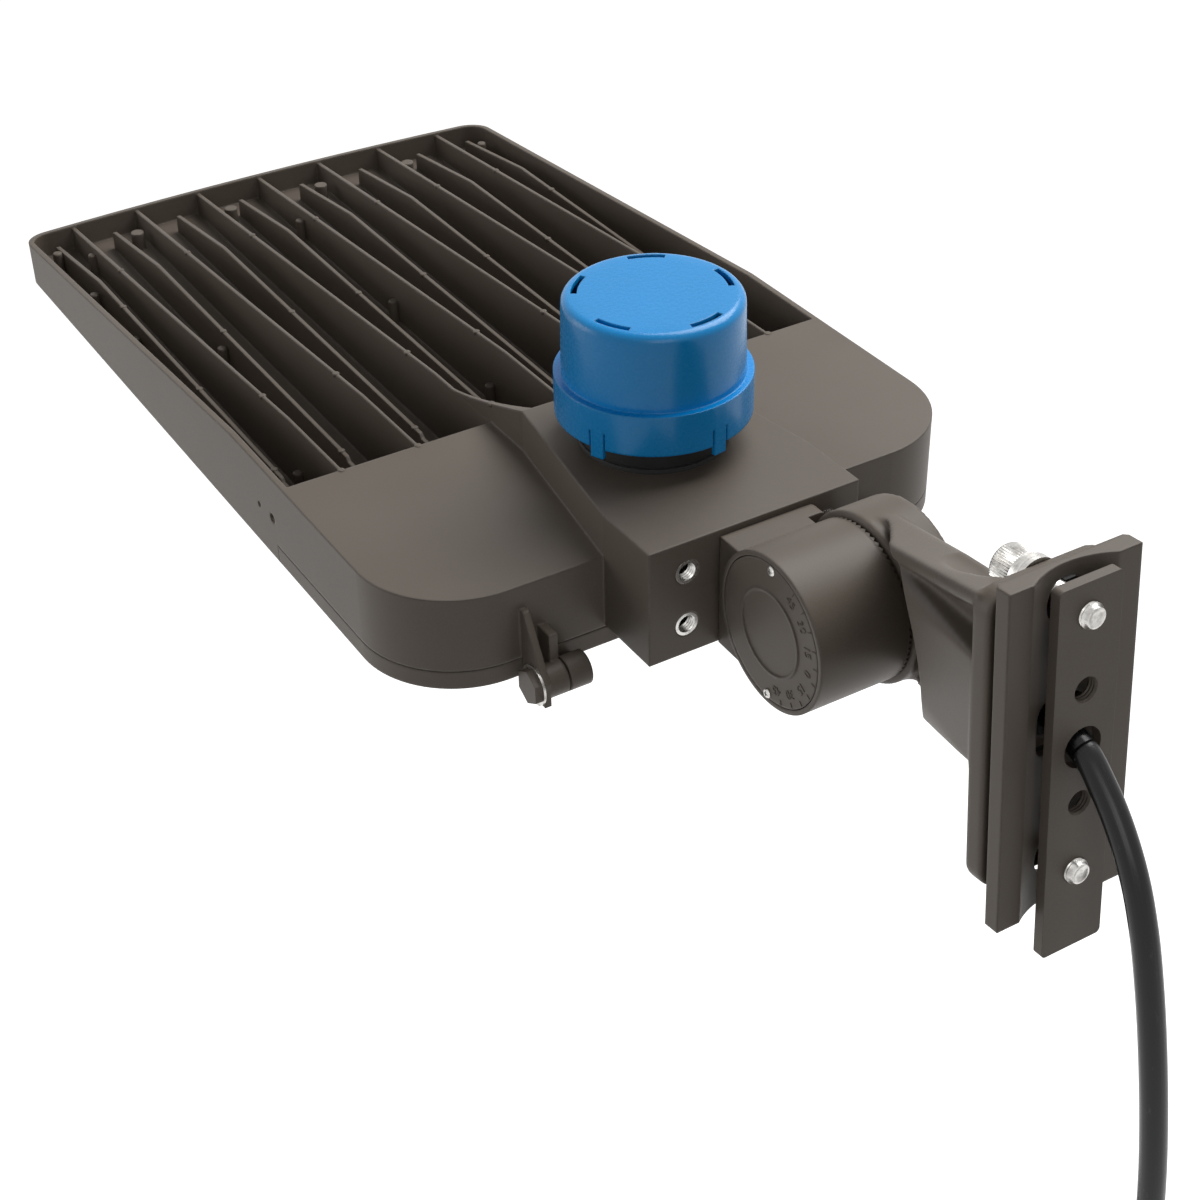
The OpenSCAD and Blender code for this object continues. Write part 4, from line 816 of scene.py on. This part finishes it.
    def joined(self, pieces: Sequence[Piece], name: str) -> Piece:
        """Make several pieces one."""
        self.clear()
        for piece in pieces:
            piece.select_set(True)
        bpy.context.view_layer.objects.active = pieces[0]
        bpy.ops.object.join()
        return self.named(name)


# Cords


def smooth_route(points: Sequence[Point], steps: int) -> list[Vector]:
    """Run one smooth curve through all points of a route.

    Args:
        points: The route, in metres.
        steps: Parts between two points.

    Returns:
        Points of the curve, the route's own among them.
    """
    knots = [Vector(p) for p in points]
    knots = [2 * knots[0] - knots[1]] + knots + [2 * knots[-1] - knots[-2]]
    curve = []
    for a, b, c, d in zip(knots, knots[1:], knots[2:], knots[3:]):
        for i in range(steps):
            t = i / steps
            square = (2 * a - 5 * b + 4 * c - d) * t**2
            cube = (3 * b - a - 3 * c + d) * t**3
            curve.append(0.5 * (2 * b + (c - a) * t + square + cube))
    return curve + [knots[-2]]


def swept_tube(name: str, line: Sequence[Vector], radius: float, sides: int) -> Piece:
    """Sweep a closed tube along a line, with a UV map that runs along it.

    Args:
        name: Name of the piece.
        line: Centre line, in metres.
        radius: Radius of the tube.
        sides: Sides of its section.

    Returns:
        The tube, u once around it and v in metres along it.
    """
    work = bmesh.new()
    uv = work.loops.layers.uv.new("along")
    side = Vector((1.0, 0.0, 0.0))
    turns = [2 * math.pi * k / sides for k in range(sides)]
    rings, run, length = [], [], 0.0
    for i, point in enumerate(line):
        before, after = line[max(i - 1, 0)], line[min(i + 1, len(line) - 1)]
        ahead = (after - before).normalized()
        side = (side - side.dot(ahead) * ahead).normalized()
        other = ahead.cross(side)
        length += (point - line[i - 1]).length if i else 0.0
        run.append(length)
        around = [math.cos(t) * side + math.sin(t) * other for t in turns]
        rings.append([work.verts.new(point + radius * out) for out in around])
    for i in range(len(rings) - 1):
        for k in range(sides):
            n = (k + 1) % sides
            face = work.faces.new((rings[i][k], rings[i][n], rings[i + 1][n], rings[i + 1][k]))
            face.smooth = True
            for loop, (u, v) in zip(face.loops, ((k, i), (k + 1, i), (k + 1, i + 1), (k, i + 1))):
                loop[uv].uv = (u / sides, run[v])
    work.faces.new(list(reversed(rings[0])))
    work.faces.new(rings[-1])
    mesh = bpy.data.meshes.new(name)
    work.to_mesh(mesh)
    work.free()
    return stand(name, mesh)


@dataclass(frozen=True)
class SupplyCord(Part):
    """The supply cord: out of the bar, down under its own weight and into a tied coil.

    inner_mm and free_mm give its route in the plane x = 0, as y and z.
    """

    diameter_mm: float = 10.0
    sides: int = 24
    free_steps: int = 2
    inner_steps: int = 3
    inner_mm: Profile = (
        (-25.6, 4.0), (-10.0, 4.0), (-6.0, 3.7), (-2.0, 2.9), (2.5, 1.4), (7.3, -0.8), (9.5, -1.808),
    )
    free_mm: Profile = (
        (7.3, -0.8), (9.5, -1.808), (12.6, -4.4), (17.0, -9.0), (21.5, -14.0), (26.0, -20.0), (30.0, -26.4),
        (33.5, -33.0), (37.0, -41.0), (40.0, -50.0), (43.0, -61.0), (45.5, -73.0), (48.0, -87.0),
        (50.2, -102.0), (52.2, -118.0), (54.0, -136.0), (55.4, -156.0), (56.0, -178.0), (56.0, -202.0),
        (56.0, -230.0), (56.0, -260.0), (56.0, -292.0),
    )
    coil_z_mm: float = -302.0
    coil_r_mm: float = 56.0
    coil_turns: float = 1.75
    coil_pitch_mm: float = 11.5
    coil_steps: int = 24

    def _coil_point(self, turn: float) -> Point:
        """Give a point of the coil after a number of turns."""
        a = 2 * math.pi * turn
        return (
            self.coil_pitch_mm * turn * MM,
            self.coil_r_mm * math.cos(a) * MM,
            (self.coil_z_mm - self.coil_r_mm * math.sin(a)) * MM,
        )

    def _route(self) -> list[Point]:
        """Give the whole route from the bar to the cord's end."""
        free = [(0.0, y * MM, z * MM) for y, z in self.free_mm]
        last = int(self.coil_steps * self.coil_turns)
        loops = [self._coil_point(i / self.coil_steps) for i in range(last + 1)]
        out = (Vector(loops[-1]) - Vector(loops[-2])).normalized()
        return free + loops + [tuple(Vector(loops[-1]) + out * self.diameter_mm * MM)]

    def build(self) -> None:
        """Build the cord and its inner length; the CAD's tie and bare end go with it."""
        jacket = Jacket("cord_jacket").material()
        radius = self.diameter_mm / 2 * MM
        route = self._route()
        line = smooth_route(route, self.free_steps)
        cord = swept_tube("supply_cord_jacket", line, radius, self.sides)
        inner_route = [(0.0, y * MM, z * MM) for y, z in self.inner_mm]
        inner_line = smooth_route(inner_route, self.inner_steps)
        inner = swept_tube("inner_cord_jacket", inner_line, radius, self.sides)
        for piece, nodes in ((cord, ("supply_cord", "cord_coil")), (inner, ("inner_cord",))):
            self.wardrobe.dress(piece, Slot.JACKET, Body.MOUNT)
            piece.data.materials[0] = jacket
            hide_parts(*nodes)


# Arm and knuckle


@dataclass(frozen=True)
class CastArm(Part):
    """The arm's casting, its limbs run together as a foundry pattern's are."""

    weld_mm: float = 0.01
    voxel_mm: float = 0.95
    smooth_share: float = 0.5
    smooth_rounds: int = 9

    def build(self) -> None:
        """Run the arm's surfaces together and stand for the CAD arm."""
        arm = self.copy_of("arm", "arm_casting", self.weld_mm)
        remesh = arm.modifiers.new("skin", "REMESH")
        remesh.mode = "VOXEL"
        remesh.voxel_size = self.voxel_mm * MM
        bpy.ops.object.modifier_apply(modifier=remesh.name)
        smooth = arm.modifiers.new("run_together", "SMOOTH")
        smooth.factor = self.smooth_share
        smooth.iterations = self.smooth_rounds
        bpy.ops.object.modifier_apply(modifier=smooth.name)
        bpy.ops.object.shade_smooth()
        self.wardrobe.dress(arm, Slot.CASTING, Body.MOUNT)
        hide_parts("arm")


@dataclass(frozen=True)
class Knuckle(Part):
    """Toothed seam of the knuckle, and the marks and screws of its dial.

    Heights lie along the knuckle's axis; _tooth_ring says what each ring's are.
    """

    teeth: int = 72
    inner_mm: float = 28.2
    head_outer_mm: float = 34.05
    head_ring_mm: Point = (-19.2, -19.4, -20.95)
    arm_outer_mm: float = 32.6
    arm_ring_mm: Point = (-21.6, -21.25, -20.1)
    tooth_find_mm: float = 0.05
    mark_angles: Sequence[float] = (62.0, 47.0, 32.0, 17.0, 2.0, -13.0, -28.0, -43.0, -58.0, -73.0)
    numbers: Sequence[tuple[str, float]] = (
        ("45", 60.0), ("30", 37.0), ("15", 14.0), ("0", -9.0), ("15", -32.0), ("30", -55.0), ("45", -77.0),
    )
    face_mm: float = 22.0
    line_r_mm: float = 29.9
    line_mm: Point = (2.4, 0.42, 0.36)
    line_round_mm: float = 0.1
    line_lift_mm: float = 0.08
    number_r_mm: float = 25.2
    number_mm: float = 5.6
    number_deep_mm: float = 0.16
    number_lift_mm: float = 0.1
    screw_r_mm: float = 29.4
    screw_sides: int = 32
    screw_profile: Profile = (
        (0.0, -6.0), (1.2, -6.0), (1.2, 0.0), (2.0, 0.0), (2.08, 0.45), (1.75, 0.95), (1.0, 1.15), (0.0, 1.2),
    )
    cross_mm: Sequence[Point] = ((2.5, 0.55, 1.3), (0.55, 2.5, 1.3))
    cross_lift_mm: float = 1.15

    def _axis(self) -> Matrix:
        """Give the knuckle's axis in the head, its z along the row's x."""
        return head_place() @ shifted(*PIVOT_IN_HEAD_MM) @ ALONG_X

    def _spoke(self, angle: float) -> Matrix:
        """Give the dial's turn that takes its x axis to a mark's angle."""
        return self._axis() @ Matrix.Rotation(math.radians(90.0 + angle), 4, "Z")

    def _tooth_ring(self, name: str, outer: float, heights: Point) -> Piece:
        """Make one half of the toothed seam.

        Args:
            name: Name of the ring.
            outer: Its outer radius.
            heights: Heights of its flat side, between its teeth and of its teeth.

        Returns:
            The ring round the z axis.
        """
        inner = self.inner_mm
        back, root, tip = heights
        profile = [(inner, back), (outer, back), (outer, root), (inner, root), (inner, back)]
        ring = self.turned(name, profile, 2 * self.teeth)

        def is_tip(place: Vector) -> bool:
            """Find the places between the teeth that become teeth."""
            turn = round(math.atan2(place.y, place.x) / (math.pi / self.teeth))
            on_root = abs(place.z - root * MM) < self.tooth_find_mm * MM
            return on_root and turn % 2 == (1 if tip < root else 0)

        self.pick(ring, is_tip)
        bpy.ops.transform.translate(value=(0.0, 0.0, (tip - root) * MM))
        bpy.ops.object.mode_set(mode="OBJECT")
        bpy.ops.object.shade_flat()
        return ring

    def _marks(self) -> Piece:
        """Raise the dial's lines and plain numbers."""
        parts = []
        for angle in self.mark_angles:
            place = self._spoke(angle) @ shifted(self.line_r_mm, 0.0, self.face_mm + self.line_lift_mm)
            parts.append(self.block("dial_line", self.line_mm, place, self.line_round_mm))
        upright = Matrix.Rotation(math.radians(-90.0), 4, "Z")
        for text, angle in self.numbers:
            self.clear()
            bpy.ops.object.text_add(location=(0.0, 0.0, 0.0))
            letters = bpy.context.object
            letters.data.body = text
            letters.data.size = self.number_mm * MM
            letters.data.extrude = self.number_deep_mm * MM
            letters.data.align_x = letters.data.align_y = "CENTER"
            bpy.ops.object.convert(target="MESH")
            place = self._spoke(angle) @ shifted(self.number_r_mm, 0.0, self.face_mm + self.number_lift_mm)
            parts.append(self.settle(letters, place @ upright))
        return self.joined(parts, "dial_marks")

    def _screw(self) -> Piece:
        """Make a dial screw with a cross recess."""
        screw = self.turned("dial_screw", self.screw_profile, self.screw_sides)
        place = shifted(0.0, 0.0, self.cross_lift_mm)
        self.cut(screw, [self.block("slot", size, place) for size in self.cross_mm])
        return screw

    def build(self) -> None:
        """Build the seam, the marks and the screws."""
        near = self._tooth_ring("head_tooth_ring", self.head_outer_mm, self.head_ring_mm)
        self.wardrobe.dress(self.settle(near, self._axis()), Slot.COATED_STEEL, Body.HEAD)
        far = self._tooth_ring("arm_tooth_ring", self.arm_outer_mm, self.arm_ring_mm)
        self.settle(far, shifted(*PIVOT_MM) @ ALONG_X)
        self.wardrobe.dress(far, Slot.COATED_STEEL, Body.MOUNT)
        self.wardrobe.dress(self._marks(), Slot.CASTING, Body.HEAD)
        screws = []
        for x in (-self.screw_r_mm, self.screw_r_mm):
            screws.append(self.settle(self._screw(), self._axis() @ shifted(x, 0.0, self.face_mm)))
        both = self.joined(screws, "dial_screw_pair")
        self.wardrobe.dress(both, Slot.ZINC, Body.HEAD)
        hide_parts("dial_screws")


# Fasteners


@dataclass(frozen=True)
class Fasteners(Part):
    """Pole bolts with knurled heads, and the threads that show in plain holes.

    Profiles give radius and height, the bolts' from the socket to the dished end.
    """

    bolt_z_mm: float = 52.2
    bolt_head: Profile = (
        (0.0, -30.0), (4.4, -30.0), (4.6, -35.0), (6.6, -35.0), (7.4, -34.6), (8.0, -33.8),
        (8.0, -26.4), (7.5, -25.4), (7.0, -25.0), (5.0, -25.0), (5.0, -1.0),
    )
    bolt_end: Profile = (
        (4.4, 9.0), (4.3, 9.3), (3.9, 10.2), (3.3, 10.3), (2.6, 9.9), (1.4, 9.5), (0.0, 9.4),
    )
    bolt_ridges: int = 7
    bolt_root_r_mm: float = 4.45
    bolt_ridge_r_mm: float = 4.97
    knurls: int = 48
    knurl_from_r_mm: float = 7.9
    knurl_shrink: float = 0.945
    knurl_smooth_deg: float = 28.0
    pitch_mm: float = 1.25
    thread_sides: int = 40
    mouth_mm: float = 0.15
    ridge_mm: float = 0.55
    bar_hole_r_mm: float = 5.0
    bar_thread_mm: float = 4.3
    bar_face_mm: float = 3.0
    bar_holes_mm: Sequence[float] = (23.1, -23.1)
    insert_r_mm: float = 4.0
    insert_thread_mm: float = 6.0
    insert_face_mm: float = 152.5
    inserts_mm: Profile = ((33.0, 5.5), (33.0, -20.0), (-35.0, 5.5), (-35.0, -20.0))

    def _bolt(self, name: str) -> Piece:
        """Turn a bolt with a knurled head, a thread and a dished end."""
        profile = list(self.bolt_head)
        for i in range(self.bolt_ridges):
            low = i * self.pitch_mm
            profile += [(self.bolt_root_r_mm, low + 0.1), (self.bolt_ridge_r_mm, low + self.pitch_mm * 0.6)]
        profile += self.bolt_end
        bolt = self.turned(name, profile, 2 * self.knurls)

        def is_groove(place: Vector) -> bool:
            """Find the lines of the head that become grooves."""
            turn = round(math.atan2(place.y, place.x) / (math.pi / self.knurls))
            return math.hypot(place.x, place.y) > self.knurl_from_r_mm * MM and turn % 2 == 0

        self.pick(bolt, is_groove)
        shrink = (self.knurl_shrink, self.knurl_shrink, 1.0)
        bpy.ops.transform.resize(value=shrink, center_override=(0.0, 0.0, 0.0))
        bpy.ops.object.mode_set(mode="OBJECT")
        bpy.ops.object.shade_smooth_by_angle(angle=math.radians(self.knurl_smooth_deg))
        return bolt

    def _thread(self, radius: float, length: float, place: Matrix) -> Piece:
        """Turn the ridges of a thread inside a hole, from its mouth inwards.

        Args:
            radius: Radius of the hole, in which the sleeve's back lies hidden.
            length: Length of the thread.
            place: Place of its mouth, its z into the hole.

        Returns:
            The sleeve of ridges.
        """
        back, root = radius + 0.06, radius - 0.02
        start, end = self.mouth_mm, length - self.mouth_mm
        profile = [(back, start)]
        for i in range(int(length / self.pitch_mm)):
            low = start + i * self.pitch_mm
            profile += [(root, low + 0.05), (radius - self.ridge_mm, low + self.pitch_mm * 0.5)]
        profile += [(root, end), (back, end), (back, start)]
        return self.settle(self.turned("thread", profile, self.thread_sides), place)

    def build(self) -> None:
        """Build the bolts and the threads."""
        ends = ((1.0, Body.UPPER_BOLT, "upper_pole_bolt"), (-1.0, Body.LOWER_BOLT, "lower_pole_bolt"))
        for side, body, node in ends:
            bolt = self._bolt(f"{node}_turned")
            self.settle(bolt, shifted(0.0, 0.0, side * self.bolt_z_mm) @ ALONG_Y)
            self.wardrobe.dress(bolt, Slot.ZINC, body)
            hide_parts(node)
        bar = []
        for z in self.bar_holes_mm:
            place = shifted(0.0, self.bar_face_mm, z) @ ALONG_Y
            bar.append(self._thread(self.bar_hole_r_mm, self.bar_thread_mm, place))
        self.wardrobe.dress(self.joined(bar, "bar_hole_threads"), Slot.COATED_STEEL, Body.BAR)
        mouths = []
        for x, z in self.inserts_mm:
            place = head_place() @ shifted(x, self.insert_face_mm, z) @ ALONG_Y.inverted()
            mouths.append(self._thread(self.insert_r_mm, self.insert_thread_mm, place))
        self.wardrobe.dress(self.joined(mouths, "insert_threads"), Slot.ZINC, Body.HEAD)


# Photocontrol


@dataclass(frozen=True)
class Photocontrol(Part):
    """Blue cap of the photocontrol, with the slits that free its two spring tabs."""

    centre_y_mm: float = 76.0
    base_z_mm: float = 34.3
    skirt_r_mm: float = 41.0
    tab_angles: Sequence[float] = (24.0, 98.0)
    slit_side_mm: float = 3.5
    slit_mm: Point = (5.0, 0.8, 8.6)
    slit_rise_mm: float = 3.3

    def build(self) -> None:
        """Cut the slits in a copy of the cap and stand for it."""
        cap = self.copy_of("photocontrol_cap", "slit_cap", WELD_MM)
        base = head_place() @ shifted(0.0, self.centre_y_mm, self.base_z_mm)
        slits = []
        for angle in self.tab_angles:
            turn = Matrix.Rotation(math.radians(angle), 4, "Z")
            for side in (-self.slit_side_mm, self.slit_side_mm):
                place = base @ turn @ shifted(self.skirt_r_mm, side, self.slit_rise_mm)
                slits.append(self.block("slit", self.slit_mm, place))
        self.cut(cap, slits)
        self.wardrobe.dress(cap, Slot.BLUE, Body.PHOTOCONTROL)
        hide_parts("photocontrol_cap")


# Small casting details of the head


@dataclass(frozen=True)
class CastingDetails(Part):
    """Half-round posts between the fins and ejector pads on the fins' tops."""

    sides: int = 20
    look_from_mm: float = 40.0
    look_m: float = 0.2
    post_r_mm: float = 2.5
    post_top_mm: float = -24.0
    post_least_mm: float = 3.0
    post_pairs: Profile = (
        (130.0, -318.0), (114.5, -306.0), (130.0, -262.0), (130.0, -205.0), (97.0, -172.0), (114.5, -45.0),
    )
    lone_posts: Profile = ((53.0, -232.0), (53.0, -118.0), (3.0, -283.0), (3.0, -170.0), (3.0, -67.0))
    pad_r_mm: float = 1.7
    fin_top_from_mm: float = -20.0
    fin_pitch_mm: float = 37.4
    long_pads_mm: Sequence[float] = (-268.0, -84.0, 0.0)
    short_pads_mm: Sequence[float] = (-177.0, -42.0)
    edge_x_mm: float = 126.0
    edge_pads_mm: Sequence[float] = (-229.0, -130.0, -44.0)

    def _surface(self, x: float, y: float) -> Optional[float]:
        """Find how high the casting stands at a place of the head.

        Args:
            x: Across the head.
            y: Along the head.

        Returns:
            The height in the head's frame, or None past its edge.
        """
        place = head_place()
        start = place @ (Vector((x, y, self.look_from_mm)) * MM)
        down = place.to_3x3() @ Vector((0.0, 0.0, -1.0))
        hit, where, _, _ = frame["nodes"]["head_casting"].ray_cast(start, down, distance=self.look_m)
        return (place.inverted() @ where).z / MM if hit else None

    def build(self) -> None:
        """Build the posts and the pads, each standing on the casting."""
        made = []
        r = self.post_r_mm
        posts = [(side * x, y) for x, y in self.post_pairs for side in (1.0, -1.0)]
        for x, y in posts + list(self.lone_posts):
            foot = self._surface(x, y)
            if foot is None or foot >= self.post_top_mm - self.post_least_mm:
                continue
            tall = self.post_top_mm - foot
            foot_profile = [(0.0, -0.5), (r + 0.2, -0.5), (r + 0.1, 0.6)]
            top_profile = [(r, tall - 0.5), (r - 0.4, tall), (0.0, tall)]
            post = self.turned("post", foot_profile + top_profile, self.sides)
            made.append(self.settle(post, head_place() @ shifted(x, y, foot)))
        pads = [(i * self.fin_pitch_mm, y) for i in range(-3, 4) for y in self.long_pads_mm]
        pads += [((i + 0.5) * self.fin_pitch_mm, y) for i in range(-3, 3) for y in self.short_pads_mm]
        pads += [(x, y) for x in (-self.edge_x_mm, self.edge_x_mm) for y in self.edge_pads_mm]
        r = self.pad_r_mm
        profile = [(0.0, -1.2), (r, -1.2), (r, 0.1), (r - 0.2, 0.3), (0.0, 0.3)]
        for x, y in pads:
            top = self._surface(x, y)
            if top is not None and top > self.fin_top_from_mm:
                pad = self.turned("pad", profile, self.sides)
                made.append(self.settle(pad, head_place() @ shifted(x, y, top)))
        self.wardrobe.dress(self.joined(made, "casting_posts_and_pads"), Slot.CASTING, Body.HEAD)


def main() -> None:
    """Build the camera, the cord, the studio and the new pieces, then finish the CAD nodes."""
    logging.basicConfig(level=logging.INFO, format="%(name)s: %(message)s")
    bpy.context.scene.view_settings.view_transform = "Standard"
    PhotoCamera().build()
    wardrobe = Wardrobe()
    SupplyCord(wardrobe).build()
    Studio().build()
    for part in (CastArm, Knuckle, Fasteners, Photocontrol, CastingDetails):
        part(wardrobe).build()
        LOG.info("%s built", part.__name__)
    wardrobe.dress_cad()


if __name__ == "__main__":
    main()
